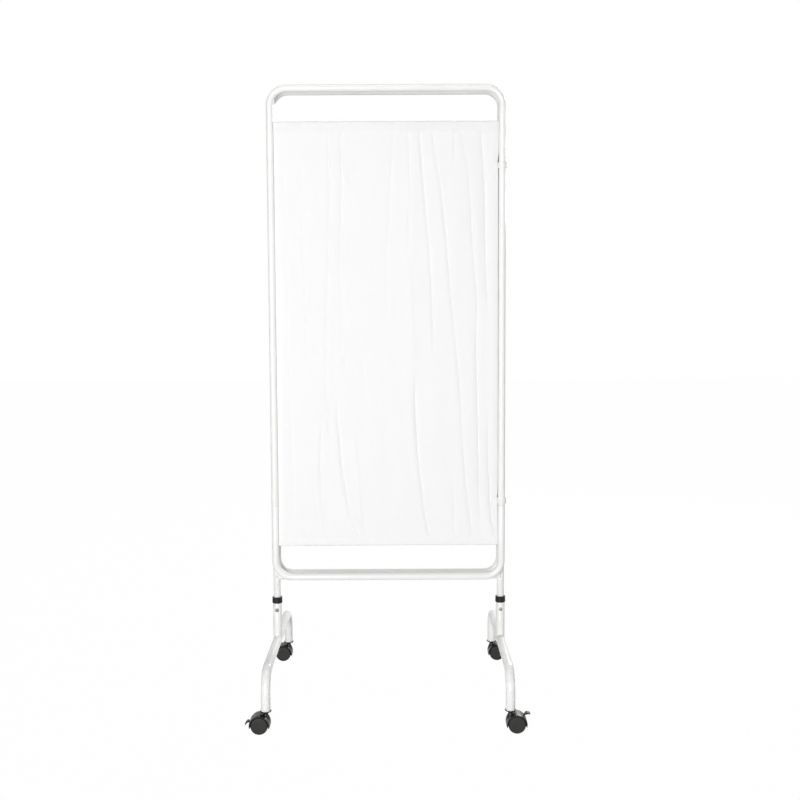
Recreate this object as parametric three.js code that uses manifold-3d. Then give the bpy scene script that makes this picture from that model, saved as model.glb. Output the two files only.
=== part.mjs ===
// Ward privacy screen on wheels: a centre frame on two wheeled feet, with two wings folded flat
// against it, one in front and one behind. Millimetres, Z up, X along the screen, the front
// towards -Y. The origin is on the floor, midway between the feet.
import * as THREE from 'three';
import { mergeVertices } from 'three/addons/utils/BufferGeometryUtils.js';
import Module from 'manifold-3d';

const wasm = await Module();
wasm.setup();

// Fits and cuts
const FIT_GAP = 0.3; // left between two pieces that touch
const OVERRUN = 4; // how far a cutting shape runs past what it cuts

// Frames of round tube
const PANEL_WIDTH = 640; // between the centre lines of a frame's side tubes
const PANEL_PITCH = 24; // from one folded frame to the next
const TUBE_OUTER = 20;
const TUBE_WALL = 1.2;
const FRAME_HEIGHT = 1362; // between the centre lines of the top and bottom bars
const CORNER_RADIUS = 46; // of the centre line at a rounded corner
const HOOP_DEPTH = 204; // from a bar's centre line to the seam with the side tube
const NECK_LENGTH = 32; // the reduced end of a side tube inside the hoop
const WING_RAISE = 3; // the wings hang this much higher than the centre frame

// Curtains on rods
const ROD_DIAMETER = 8;
const ROD_INSET = 95; // from a bar's centre line to the rod's centre line
const ROD_GRIP = 5; // how far a rod's end reaches inside the side tube
const CLOTH_THICKNESS = 1.6;
const CLOTH_SIDE_GAP = 3.5; // from the cloth's edge to the side tube
const FOLD_DEPTH = 6.5; // how far the deepest fold leaves the middle plane
const POCKET_OVERLAP = 3; // how far the hanging cloth runs up into the rod pocket

// Hinge clips around two side tubes
const CLIP_WALL = 2.7;
const CLIP_HEIGHT = 17;
const CLIP_WAIST = 14; // width of the bridge between the two rings
const UPPER_CLIP_DROP = 7; // from the upper seam down to the clip's middle
const LOWER_CLIP_RISE = 14; // from the lower seam up to the clip's middle

// Feet
const FOOT_OUTER = 25;
const FOOT_WALL = 1.5;
const FOOT_LENGTH = 600; // between the two castor stems
const FOOT_RISE = 97; // from the tube's end up to the centre line of its level run
const FOOT_BEND = 56;
const SLEEVE_OUTER = 25;
const SLEEVE_CLEARANCE = 0.5; // between the post and the sleeve's bore
const SLEEVE_RISE = 121.5; // from the foot's centre line to the sleeve's top
const POST_SEAT_GAP = 10; // from the foot tube's top to the post's lower end
const BAR_RISE = 185; // from the foot's centre line to the centre frame's bottom bar

// Collar over each sleeve
const COLLAR_WALL = 1.3;
const COLLAR_HEIGHT = 18;
const COLLAR_LIP = 3;
const COLLAR_EDGE = 0.8; // bevel around the collar's rim

// Locking screws
const SCREW_RISE = 88; // from the foot's centre line
const SCREW_SHANK = 5;
const SCREW_HEAD = 10.4;
const SCREW_HEAD_HEIGHT = 3;
const SCREW_REACH = 3; // how far the shank shows inside the post

// Castors
const CASTOR_HEIGHT = 60.5; // from the floor to the tube's end
const CASTOR_TRAIL = 16; // from the stem to the axle
const WHEEL_DIAMETER = 46;
const WHEEL_WIDTH = 15;
const WHEEL_EDGE = 3; // bevel of the tread's outer edge
const HUB_DEPTH = 11; // how far the axle reaches into each wheel
const WEB_WIDTH = 12;
const WEB_DROP = 8; // how far the web reaches below the axle
const SIDE_PLAY = 0.6; // between the web and each wheel
const AXLE_DIAMETER = 5;
const FENDER_PLAY = 1.3; // between the tread and the fender
const FENDER_WALL = 3.3;
const FENDER_DROP = 15; // degrees that the fender reaches below the axle
const STEM_DIAMETER = 8;
const STEM_DEPTH = 26; // of the stem inside the castor body
const BOSS_WALL = 4.5;
const BOSS_PLAY = 1; // between the boss and the insert's flange
const FLANGE_DIAMETER = 29;
const FLANGE_HEIGHT = 3;
const PLUG_LENGTH = 24;
const STEM_ABOVE_PLUG = 1;

// Brake levers of the two front castors
const LEVER_OUT = 6.5; // from the axle to the lever's pin, outwards
const LEVER_UP = 9.5; // from the axle to the lever's pin, upwards
const LEVER_PIN = 4;
const LEVER_WIDTH = 7.4;
const LEVER_HUB_WALL = 2.2;
const LEVER_ARM = 4.4; // thickness of the arm
const LEVER_REACH = 31; // from the pin to the arm's end
const LEVER_HOOK_THICKNESS = 3.6;
const PADDLE_START = 21.5; // from the pin to the wide end
const PADDLE_WIDTH = 16;
const SLOT_PLAY = 0.6; // on each side of the lever in its slot
const LEVER_DOWN = -4; // degrees from level
const LEVER_UP_ANGLE = 42;

// Steps of the faceted rounds
const TUBE_SIDES = 12;
const BEND_STEPS = 3; // in each corner of a hoop
const FOOT_STEPS = 4; // in each bend of a foot
const WHEEL_SIDES = 20;
const FENDER_STEPS = 10;
const RING_SIDES = 14;
const SHOWN_ROWS = 9;
const HIDDEN_ROWS = 5;

// The front curtain's folds as shares of the cloth's width at its upper and lower rod, and of the
// deepest fold's depth
const FOLD_SHARES = [
  [0.1, 0.2, 0.7],
  [0.235, 0.27, 0.6],
  [0.3, 0.38, 0.8],
  [0.41, 0.46, 0.5],
  [0.52, 0.56, 0.5],
  [0.595, 0.68, 0.9],
  [0.645, 0.77, 1],
  [0.7, 0.87, 1],
  [0.875, 0.925, 0.9],
  [0.94, 0.97, 0.6],
];
// How deep all folds are at even steps from the upper rod to the lower one
const DEPTH_SHARES = [0.35, 0.9, 1, 1, 1, 1, 0.95, 0.8, 0.35];

const FINISHES = {
  paint: { color: 0xf3f2ef, roughness: 0.28, metalness: 0.05 },
  clip: { color: 0xf1f0ed, roughness: 0.35, metalness: 0 },
  cloth: { color: 0xf0f0ef, roughness: 0.9, metalness: 0 },
  black: { color: 0x26262a, roughness: 0.5, metalness: 0 },
  tread: { color: 0x3a3a3b, roughness: 0.6, metalness: 0 },
  steel: { color: 0xa8a6a2, roughness: 0.35, metalness: 0.9 },
};

// Sizes that follow from the ones above
const half = PANEL_WIDTH / 2;
const tubeRadius = TUBE_OUTER / 2;
const tubeBore = tubeRadius - TUBE_WALL;
const footRadius = FOOT_OUTER / 2;
const footLevel = CASTOR_HEIGHT + FOOT_RISE;
const sleeveTop = footLevel + SLEEVE_RISE;
const centreBottom = footLevel + BAR_RISE;
const centreTop = centreBottom + FRAME_HEIGHT;
const screwLevel = footLevel + SCREW_RISE;
const wheelRadius = WHEEL_DIAMETER / 2;
const fenderInner = wheelRadius + FENDER_PLAY;
const fenderOuter = fenderInner + FENDER_WALL;
const wheelInnerFace = WEB_WIDTH / 2 + SIDE_PLAY;
const fenderWidth = 2 * (wheelInnerFace + WHEEL_WIDTH);
const rodRadius = ROD_DIAMETER / 2;

const radians = THREE.MathUtils.degToRad;

// The widest round that turns freely in a bore whose sides are flat
function insideRound(bore, sides) {
  return bore * Math.cos(Math.PI / sides) - FIT_GAP;
}

// One closed mesh with shared corners and its faces pointing out
function closed(geometry) {
  const bare = geometry.clone();
  for (const name of Object.keys(bare.attributes)) {
    if (name !== 'position') bare.deleteAttribute(name);
  }
  const merged = mergeVertices(bare);
  const corners = merged.index.array;
  const kept = [];
  for (let i = 0; i < corners.length; i += 3) {
    const [a, b, c] = corners.slice(i, i + 3);
    if (a !== b && b !== c && c !== a) kept.push(a, b, c);
  }
  if (signedVolume(merged.attributes.position, kept) < 0) kept.reverse();
  merged.setIndex(kept);
  return merged;
}

function signedVolume(position, corners) {
  const [a, b, c] = [new THREE.Vector3(), new THREE.Vector3(), new THREE.Vector3()];
  let sum = 0;
  for (let i = 0; i < corners.length; i += 3) {
    a.fromBufferAttribute(position, corners[i]);
    b.fromBufferAttribute(position, corners[i + 1]);
    c.fromBufferAttribute(position, corners[i + 2]);
    sum += a.dot(b.cross(c));
  }
  return sum;
}

function solid(geometry) {
  const mesh = closed(geometry);
  return new wasm.Manifold(new wasm.Mesh({
    numProp: 3,
    vertProperties: Float32Array.from(mesh.attributes.position.array),
    triVerts: Uint32Array.from(mesh.index.array),
  }));
}

function geometryOf(manifold) {
  const mesh = manifold.getMesh();
  const geometry = new THREE.BufferGeometry();
  geometry.setAttribute('position', new THREE.Float32BufferAttribute(mesh.vertProperties, 3));
  geometry.setIndex(Array.from(mesh.triVerts));
  geometry.computeVertexNormals();
  return geometry;
}

function piece(name, geometry, finish) {
  const mesh = new THREE.Mesh(geometry, new THREE.MeshStandardMaterial(FINISHES[finish]));
  mesh.name = name;
  return mesh;
}

function group(members, x = 0, y = 0, z = 0) {
  const made = new THREE.Group();
  made.position.set(x, y, z);
  made.add(...members);
  return made;
}

// A round's corners; half a step of turn lays a flat side square to the axes
function roundPoints(radius, sides, x = 0, y = 0) {
  const points = [];
  for (let i = 0; i < sides; i += 1) {
    const angle = (2 * Math.PI * (i + 0.5)) / sides;
    points.push(new THREE.Vector2(x + radius * Math.cos(angle), y + radius * Math.sin(angle)));
  }
  return points;
}

// Radius and height pairs turned about Z; the outline closes on itself or starts and ends on Z
function turned(outline, sides) {
  const points = outline.map(([r, z]) => new THREE.Vector2(r, z));
  if (outline[0][0] !== 0) points.push(points[0].clone());
  const geometry = new THREE.LatheGeometry(points, sides);
  geometry.rotateX(Math.PI / 2);
  geometry.rotateZ(Math.PI / sides);
  return closed(geometry);
}

function rod(radius, length, sides) {
  const end = length / 2;
  return turned([[0, -end], [radius, -end], [radius, end], [0, end]], sides);
}

function pipe(outer, inner, low, high, sides) {
  return turned([[outer, low], [outer, high], [inner, high], [inner, low]], sides);
}

// A flat outline in X and Z, given a width along Y and centred on Y = 0
function slab(shape, width) {
  const geometry = new THREE.ExtrudeGeometry(shape, { depth: width, bevelEnabled: false });
  geometry.rotateX(Math.PI / 2);
  geometry.translate(0, width / 2, 0);
  return closed(geometry);
}

// A path whose steps are its stations, so that only the bends are divided
class StationPath extends THREE.Curve {
  constructor(stations) {
    super();
    this.stations = stations;
  }

  span(t) {
    const last = this.stations.length - 1;
    const place = THREE.MathUtils.clamp(t, 0, 1) * last;
    const index = Math.min(Math.round(place), last);
    return this.stations[index];
  }

  getPoint(t, target = new THREE.Vector3()) {
    return target.copy(this.span(t).point);
  }

  getTangent(t, target = new THREE.Vector3()) {
    return target.copy(this.span(t).along);
  }

  getUtoTmapping(u) {
    return u;
  }
}

// Stations of an arch in a plane: up one leg, over two rounded corners and down the other.
// across and up are the plane's directions; the legs stand at -reach and +reach.
function archStations(across, up, reach, top, foot, bend, steps) {
  const stations = [];
  const add = (u, v, angle) => stations.push({
    point: across.clone().multiplyScalar(u).addScaledVector(up, v),
    along: across.clone().multiplyScalar(Math.cos(angle)).addScaledVector(up, Math.sin(angle)),
  });
  add(-reach, foot, Math.PI / 2);
  for (const [centre, start] of [[-reach + bend, Math.PI], [reach - bend, Math.PI / 2]]) {
    for (let i = 0; i <= steps; i += 1) {
      const angle = start - (i / steps) * (Math.PI / 2);
      add(centre + bend * Math.cos(angle), top - bend + bend * Math.sin(angle), angle - Math.PI / 2);
    }
  }
  add(reach, foot, -Math.PI / 2);
  return stations;
}

function bentPipe(stations, outer, wall, sides) {
  const section = new THREE.Shape(roundPoints(outer, sides));
  section.holes.push(new THREE.Path(roundPoints(outer - wall, sides)));
  const path = new StationPath(stations);
  return closed(new THREE.ExtrudeGeometry(section, {
    steps: stations.length - 1,
    extrudePath: path,
  }));
}

const AXIS_X = new THREE.Vector3(1, 0, 0);
const AXIS_Y = new THREE.Vector3(0, 1, 0);
const AXIS_Z = new THREE.Vector3(0, 0, 1);

// Frames

function hoop(level, seam, upwards) {
  const up = AXIS_Z.clone().multiplyScalar(upwards ? 1 : -1);
  const top = upwards ? level : -level;
  const foot = upwards ? seam + FIT_GAP / 2 : -(seam - FIT_GAP / 2);
  const stations = archStations(AXIS_X, up, half, top, foot, CORNER_RADIUS, BEND_STEPS);
  return bentPipe(stations, tubeRadius, TUBE_WALL, TUBE_SIDES);
}

const neckRadius = insideRound(tubeBore, TUBE_SIDES);

// Outline of a side tube's reduced end, from outside to inside
function neckOutline(seam, way) {
  const shoulder = seam - way * (FIT_GAP / 2);
  const tip = shoulder + way * NECK_LENGTH;
  const inside = shoulder - way * TUBE_WALL;
  return [
    [tubeRadius, shoulder],
    [neckRadius, shoulder],
    [neckRadius, tip],
    [neckRadius - TUBE_WALL, tip],
    [neckRadius - TUBE_WALL, inside],
    [tubeBore, inside],
  ];
}

// A hole for a rod's end, in the wall that faces the curtain; toCentre is 1 or -1 along X
function rodHole(level, toCentre) {
  const reach = TUBE_WALL + 2 * OVERRUN;
  const hole = rod(rodRadius + FIT_GAP, reach, TUBE_SIDES);
  hole.rotateY(Math.PI / 2);
  hole.translate(toCentre * (tubeRadius - TUBE_WALL / 2), 0, level);
  return solid(hole);
}

function rodLevels(bottom) {
  return [bottom + ROD_INSET, bottom + FRAME_HEIGHT - ROD_INSET];
}

function wingSide(bottom) {
  const low = neckOutline(bottom + HOOP_DEPTH, -1);
  const high = neckOutline(bottom + FRAME_HEIGHT - HOOP_DEPTH, 1);
  return turned([...high, ...low.reverse()], TUBE_SIDES);
}

// A hoop with the holes for the rod that it carries
function drilledHoop(level, seam, upwards, rodLevel) {
  let bent = solid(hoop(level, seam, upwards));
  for (const toCentre of [1, -1]) {
    bent = bent.subtract(rodHole(rodLevel, toCentre).translate([-toCentre * half, 0, 0]));
  }
  return geometryOf(bent);
}

function post(bottom, toCentre) {
  const high = neckOutline(bottom + FRAME_HEIGHT - HOOP_DEPTH, 1);
  const low = footLevel + footRadius + POST_SEAT_GAP;
  const outline = [...high, [tubeBore, low], [tubeRadius, low]];
  let upright = solid(turned(outline, TUBE_SIDES));
  upright = upright.subtract(rodHole(rodLevels(bottom)[0], toCentre));
  upright = upright.subtract(screwHole(tubeRadius));
  return geometryOf(upright);
}

function screwHole(wallRadius) {
  const hole = rod(SCREW_SHANK / 2 + FIT_GAP, wallRadius + OVERRUN, TUBE_SIDES);
  hole.rotateX(Math.PI / 2);
  hole.translate(0, -(wallRadius + OVERRUN) / 2, screwLevel);
  return solid(hole);
}

function lowerRail(bottom) {
  let rail = solid(pipe(tubeRadius, tubeBore, -half, half, TUBE_SIDES).rotateY(Math.PI / 2));
  for (const side of [-1, 1]) {
    const cutter = rod(tubeRadius + FIT_GAP, TUBE_OUTER + 2 * OVERRUN, TUBE_SIDES);
    rail = rail.subtract(solid(cutter.translate(side * half, 0, 0)));
    const past = new THREE.BoxGeometry(TUBE_OUTER, TUBE_OUTER + OVERRUN, TUBE_OUTER + OVERRUN);
    rail = rail.subtract(solid(past.translate(side * (half + tubeRadius), 0, 0)));
  }
  return geometryOf(rail.translate([0, 0, bottom]));
}

function curtainRod(level) {
  const length = PANEL_WIDTH - 2 * (tubeBore - ROD_GRIP);
  const geometry = rod(rodRadius, length, TUBE_SIDES);
  return geometry.rotateY(Math.PI / 2).translate(0, 0, level);
}

// Curtains

// Where the ridge and its slopes stand between two valleys, and how high they are, as shares
const SHOWN_RIDGE_SHARES = [[0.25, 0], [0.5, 1], [0.75, 0]];
const HIDDEN_RIDGE_SHARES = [[0.5, 1]];
const SHOWN_FOLDS = { rows: SHOWN_ROWS, between: SHOWN_RIDGE_SHARES, mirrored: false };
const HIDDEN_FOLDS = { rows: HIDDEN_ROWS, between: HIDDEN_RIDGE_SHARES, mirrored: false };

// Valleys, ridges and slopes as places across the cloth and depths
function foldColumns(down, mirrored, between) {
  const at = ([upper, lower]) => THREE.MathUtils.lerp(upper, lower, down);
  const folds = FOLD_SHARES.map((fold) => ({ place: at(fold), depth: fold[2] }));
  const columns = [{ place: 0, depth: 0 }, { place: folds[0].place / 2, depth: -folds[0].depth / 2 }];
  folds.forEach((fold, i) => {
    columns.push(fold);
    const next = folds[i + 1];
    if (!next) return;
    const ridge = -(fold.depth + next.depth) / 2;
    for (const [share, height] of between) {
      const place = THREE.MathUtils.lerp(fold.place, next.place, share);
      columns.push({ place, depth: height * ridge });
    }
  });
  const last = folds[folds.length - 1];
  columns.push({ place: (1 + last.place) / 2, depth: -last.depth / 2 }, { place: 1, depth: 0 });
  if (!mirrored) return columns;
  return columns.map(({ place, depth }) => ({ place: 1 - place, depth })).reverse();
}

function depthAt(down) {
  const place = down * (DEPTH_SHARES.length - 1);
  const index = Math.min(Math.floor(place), DEPTH_SHARES.length - 2);
  return THREE.MathUtils.lerp(DEPTH_SHARES[index], DEPTH_SHARES[index + 1], place - index);
}

// The hanging cloth: two wavy faces joined along all four edges
function hangingCloth(width, low, high, { rows, between, mirrored }) {
  const corners = [];
  const faces = [];
  let count = 0;
  for (const face of [-1, 1]) {
    for (let row = 0; row < rows; row += 1) {
      const down = row / (rows - 1);
      const columns = foldColumns(down, mirrored, between);
      count = columns.length;
      for (const { place, depth } of columns) {
        const y = depth * FOLD_DEPTH * depthAt(down) + (face * CLOTH_THICKNESS) / 2;
        corners.push((place - 0.5) * width, y, THREE.MathUtils.lerp(high, low, down));
      }
    }
  }
  const back = rows * count;
  const quad = (a, b, c, d) => faces.push(a, b, c, a, c, d);
  for (let row = 0; row < rows - 1; row += 1) {
    for (let i = 0; i < count - 1; i += 1) {
      const a = row * count + i;
      quad(a, a + count, a + count + 1, a + 1);
      quad(back + a, back + a + 1, back + a + count + 1, back + a + count);
    }
    const left = row * count;
    const right = left + count - 1;
    quad(left, back + left, back + left + count, left + count);
    quad(right, right + count, back + right + count, back + right);
  }
  const bottom = (rows - 1) * count;
  for (let i = 0; i < count - 1; i += 1) {
    quad(i, i + 1, back + i + 1, back + i);
    quad(bottom + i, back + bottom + i, back + bottom + i + 1, bottom + i + 1);
  }
  const geometry = new THREE.BufferGeometry();
  geometry.setAttribute('position', new THREE.Float32BufferAttribute(corners, 3));
  geometry.setIndex(faces);
  return geometry;
}

function curtain(bottom, folds) {
  const width = PANEL_WIDTH - TUBE_OUTER - 2 * CLOTH_SIDE_GAP;
  const [low, high] = rodLevels(bottom);
  const pocketBore = rodRadius + FIT_GAP;
  const pocket = pocketBore + CLOTH_THICKNESS;
  const sheet = hangingCloth(width, low + POCKET_OVERLAP, high - POCKET_OVERLAP, folds);
  let cloth = solid(sheet);
  for (const level of [low, high]) {
    const round = rod(pocket, width, TUBE_SIDES);
    cloth = cloth.add(solid(round.rotateY(Math.PI / 2).translate(0, 0, level)));
  }
  for (const level of [low, high]) {
    const bore = rod(pocketBore, width + 2 * OVERRUN, TUBE_SIDES);
    cloth = cloth.subtract(solid(bore.rotateY(Math.PI / 2).translate(0, 0, level)));
  }
  return geometryOf(cloth);
}

// A wing: two hoops, two side tubes, two rods and the curtain
function wing(name, folds) {
  const bottom = centreBottom + WING_RAISE;
  const top = bottom + FRAME_HEIGHT;
  const [lowRod, highRod] = rodLevels(bottom);
  return [
    piece(`${name}_top_hoop`, drilledHoop(top, top - HOOP_DEPTH, true, highRod), 'paint'),
    piece(`${name}_bottom_hoop`, drilledHoop(bottom, bottom + HOOP_DEPTH, false, lowRod), 'paint'),
    group([piece(`${name}_left_tube`, wingSide(bottom), 'paint')], -half),
    group([piece(`${name}_right_tube`, wingSide(bottom), 'paint')], half),
    piece(`${name}_upper_rod`, curtainRod(highRod), 'paint'),
    piece(`${name}_lower_rod`, curtainRod(lowRod), 'paint'),
    piece(`${name}_curtain`, curtain(bottom, folds), 'cloth'),
  ];
}

// The centre frame: one hoop on two posts, with a rail across their lower part
function centreFrame() {
  const [lowRod, highRod] = rodLevels(centreBottom);
  return [
    piece('centre_top_hoop', drilledHoop(centreTop, centreTop - HOOP_DEPTH, true, highRod), 'paint'),
    group([piece('centre_left_post', post(centreBottom, 1), 'paint')], -half),
    group([piece('centre_right_post', post(centreBottom, -1), 'paint')], half),
    piece('centre_lower_rail', lowerRail(centreBottom), 'paint'),
    piece('centre_upper_rod', curtainRod(highRod), 'paint'),
    piece('centre_lower_rod', curtainRod(lowRod), 'paint'),
    piece('centre_curtain', curtain(centreBottom, { ...HIDDEN_FOLDS, mirrored: true }), 'cloth'),
  ];
}

// Hinge clips: two rings and a bridge, around a tube of the centre frame and one of a wing
function clip() {
  const bore = tubeRadius + FIT_GAP;
  const bridge = new THREE.BoxGeometry(CLIP_WAIST, PANEL_PITCH, CLIP_HEIGHT);
  let body = solid(bridge.translate(0, PANEL_PITCH / 2, 0));
  for (const y of [0, PANEL_PITCH]) {
    body = body.add(solid(rod(bore + CLIP_WALL, CLIP_HEIGHT, RING_SIDES).translate(0, y, 0)));
  }
  for (const y of [0, PANEL_PITCH]) {
    const cutter = rod(bore, CLIP_HEIGHT + 2 * OVERRUN, RING_SIDES);
    body = body.subtract(solid(cutter.translate(0, y, 0)));
  }
  return geometryOf(body);
}

function clipPair(name, x, turn) {
  const wingSeam = centreBottom + WING_RAISE + HOOP_DEPTH;
  const upperSeam = centreBottom + WING_RAISE + FRAME_HEIGHT - HOOP_DEPTH;
  const levels = { upper: upperSeam - UPPER_CLIP_DROP, lower: wingSeam + LOWER_CLIP_RISE };
  return Object.entries(levels).map(([end, level]) => {
    const placed = group([piece(`${name}_${end}_clip`, clip(), 'clip')], x, 0, level);
    placed.rotation.z = turn;
    return placed;
  });
}

// Feet: a bent tube, the sleeve that stands on it, its collar and its screw
function footTube() {
  const arch = [FOOT_LENGTH / 2, footLevel, CASTOR_HEIGHT, FOOT_BEND, FOOT_STEPS];
  return bentPipe(archStations(AXIS_Y, AXIS_Z, ...arch), footRadius, FOOT_WALL, TUBE_SIDES);
}

// The saddle's flat sides stay clear of the foot tube's corners
function sleeve() {
  const bore = tubeRadius + SLEEVE_CLEARANCE;
  let tube = solid(pipe(SLEEVE_OUTER / 2, bore, footLevel, sleeveTop, RING_SIDES));
  const clear = (footRadius + FIT_GAP) / Math.cos(Math.PI / TUBE_SIDES);
  const saddle = rod(clear, SLEEVE_OUTER + 2 * OVERRUN, TUBE_SIDES);
  tube = tube.subtract(solid(saddle.rotateX(Math.PI / 2).translate(0, 0, footLevel)));
  tube = tube.subtract(screwHole(SLEEVE_OUTER / 2));
  return geometryOf(tube);
}

function collar() {
  const skirt = SLEEVE_OUTER / 2 + FIT_GAP;
  const outer = skirt + COLLAR_WALL;
  const top = sleeveTop + FIT_GAP + COLLAR_LIP;
  const low = top - COLLAR_HEIGHT;
  return turned([
    [skirt, low],
    [outer - COLLAR_EDGE / 2, low],
    [outer, low + COLLAR_EDGE],
    [outer, top - COLLAR_EDGE],
    [outer - COLLAR_EDGE, top],
    [tubeRadius + FIT_GAP, top],
    [tubeRadius + FIT_GAP, sleeveTop + FIT_GAP],
    [skirt, sleeveTop + FIT_GAP],
  ], RING_SIDES);
}

function screw() {
  const shank = SCREW_SHANK / 2;
  const head = SCREW_HEAD / 2;
  const seat = SLEEVE_OUTER / 2 + FIT_GAP;
  const geometry = turned([
    [0, tubeBore - SCREW_REACH],
    [shank, tubeBore - SCREW_REACH],
    [shank, seat],
    [head, seat],
    [head, seat + SCREW_HEAD_HEIGHT / 2],
    [head / 2, seat + SCREW_HEAD_HEIGHT],
    [0, seat + SCREW_HEAD_HEIGHT],
  ], TUBE_SIDES);
  return geometry.rotateX(Math.PI / 2).translate(0, 0, screwLevel);
}

function foot(name) {
  return [
    piece(`${name}_foot_tube`, footTube(), 'paint'),
    piece(`${name}_sleeve`, sleeve(), 'paint'),
    piece(`${name}_collar`, collar(), 'black'),
    piece(`${name}_screw`, screw(), 'steel'),
  ];
}

// Castors, with the stem on X = 0 and Y = 0, the floor at Z = 0 and the axle towards +X

const plugRadius = insideRound(footRadius - FOOT_WALL, TUBE_SIDES);

function insert() {
  const bore = STEM_DIAMETER / 2 + FIT_GAP;
  const seat = CASTOR_HEIGHT - FIT_GAP;
  const low = seat - FLANGE_HEIGHT;
  const top = CASTOR_HEIGHT + PLUG_LENGTH;
  return turned([
    [bore, low],
    [FLANGE_DIAMETER / 2, low],
    [FLANGE_DIAMETER / 2, seat],
    [plugRadius, seat],
    [plugRadius, top],
    [bore, top],
  ], TUBE_SIDES);
}

const bossTop = CASTOR_HEIGHT - FLANGE_HEIGHT - FIT_GAP - BOSS_PLAY;

function stem() {
  const low = bossTop - STEM_DEPTH + FIT_GAP;
  const high = CASTOR_HEIGHT + PLUG_LENGTH + STEM_ABOVE_PLUG;
  return rod(STEM_DIAMETER / 2, high - low, TUBE_SIDES).translate(0, 0, (low + high) / 2);
}

// Corners of an arc about the axle, in degrees from level
function arc(radius, from, to, steps) {
  const points = [];
  for (let i = 0; i <= steps; i += 1) {
    const angle = radians(THREE.MathUtils.lerp(from, to, i / steps));
    points.push(new THREE.Vector2(radius * Math.cos(angle), radius * Math.sin(angle)));
  }
  return points;
}

function fenderShape() {
  const from = -FENDER_DROP;
  const to = 180 + FENDER_DROP;
  const inner = arc(fenderInner, to, from, FENDER_STEPS);
  return new THREE.Shape([...arc(fenderOuter, from, to, FENDER_STEPS), ...inner]);
}

// The web between the wheels: a half round that reaches a little below the axle
function webShape() {
  const drop = THREE.MathUtils.radToDeg(Math.asin(WEB_DROP / fenderOuter));
  return new THREE.Shape(arc(fenderOuter, -drop, 180 + drop, FENDER_STEPS));
}

const leverHub = LEVER_PIN / 2 + FIT_GAP + LEVER_HUB_WALL;

// An outline about the lever's pin: a round hub that opens into an arm between two directions
function armShape(hub, thick, from, to) {
  const open = THREE.MathUtils.radToDeg(Math.asin(thick / hub));
  const back = arc(hub, to + open, from + 360 - open, FENDER_STEPS);
  const pin = new THREE.Vector2();
  const end = (y, angle) => new THREE.Vector2(LEVER_REACH, y).rotateAround(pin, angle);
  const outer = [end(-thick, radians(from))];
  if (to > from) {
    const middle = end(0, radians((from + to) / 2));
    outer.push(middle.divideScalar(Math.cos(radians((to - from) / 2))));
  }
  outer.push(end(thick, radians(to)));
  return new THREE.Shape([...back, ...outer]);
}

// The hook is so long that a lever stands out as far when it is up as when it is down
function hookLength() {
  const down = radians(LEVER_DOWN);
  const up = radians(LEVER_UP_ANGLE);
  const lowered = LEVER_REACH * Math.cos(down) - (LEVER_ARM / 2) * Math.sin(down);
  return (lowered - LEVER_REACH * Math.cos(up)) / Math.sin(up);
}

// The wide end of a lever, which turns down into the hook
function paddleShape() {
  const thick = LEVER_ARM / 2;
  const inner = LEVER_REACH - LEVER_HOOK_THICKNESS;
  const hook = hookLength();
  return new THREE.Shape([
    new THREE.Vector2(PADDLE_START, -thick / 2),
    new THREE.Vector2(inner, -thick),
    new THREE.Vector2(inner + LEVER_HOOK_THICKNESS / 2, -hook),
    new THREE.Vector2(LEVER_REACH, -hook),
    new THREE.Vector2(LEVER_REACH, thick),
    new THREE.Vector2(PADDLE_START, thick),
  ]);
}

// A shape about the lever's pin, turned and moved to its place about the axle
function atPin(geometry, degrees) {
  return geometry.rotateY(-radians(degrees)).translate(LEVER_OUT, 0, LEVER_UP);
}

// A geometry about the axle's middle, moved to its place in the castor
function atAxle(geometry) {
  return geometry.translate(CASTOR_TRAIL, 0, wheelRadius);
}

// The room that the lever sweeps, with play
function leverSlot() {
  const arm = LEVER_ARM / 2 + SLOT_PLAY;
  const shape = armShape(leverHub + SLOT_PLAY, arm, LEVER_DOWN, LEVER_UP_ANGLE);
  return solid(atAxle(atPin(slab(shape, LEVER_WIDTH + 2 * SLOT_PLAY), 0)));
}

// The boss around the stem, cut back where the wheels turn
function bossShape() {
  const height = bossTop - wheelRadius;
  const boss = rod(STEM_DIAMETER / 2 + BOSS_WALL, height, RING_SIDES);
  const wheels = atAxle(rod(fenderInner, fenderWidth, WHEEL_SIDES).rotateX(Math.PI / 2));
  const between = atAxle(new THREE.BoxGeometry(2 * fenderOuter, WEB_WIDTH, 2 * fenderOuter));
  const turning = solid(wheels).subtract(solid(between));
  return solid(boss.translate(0, 0, wheelRadius + height / 2)).subtract(turning);
}

function castorBody(braked) {
  let body = solid(atAxle(slab(fenderShape(), fenderWidth)));
  body = body.add(solid(atAxle(slab(webShape(), WEB_WIDTH))));
  if (braked) {
    const pin = rod(LEVER_PIN / 2, WEB_WIDTH, TUBE_SIDES).rotateX(Math.PI / 2);
    body = body.subtract(leverSlot());
    body = body.add(solid(atAxle(atPin(pin, 0))));
  }
  body = body.add(bossShape());
  const stemHole = rod(STEM_DIAMETER / 2 + FIT_GAP, STEM_DEPTH + OVERRUN, TUBE_SIDES);
  body = body.subtract(solid(stemHole.translate(0, 0, bossTop + (OVERRUN - STEM_DEPTH) / 2)));
  const axleHole = rod(AXLE_DIAMETER / 2 + FIT_GAP, WEB_WIDTH + 2 * OVERRUN, TUBE_SIDES);
  return geometryOf(body.subtract(solid(atAxle(axleHole.rotateX(Math.PI / 2)))));
}

function axle() {
  const length = 2 * (wheelInnerFace + HUB_DEPTH - FIT_GAP);
  return atAxle(rod(AXLE_DIAMETER / 2, length, TUBE_SIDES).rotateX(Math.PI / 2));
}

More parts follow.
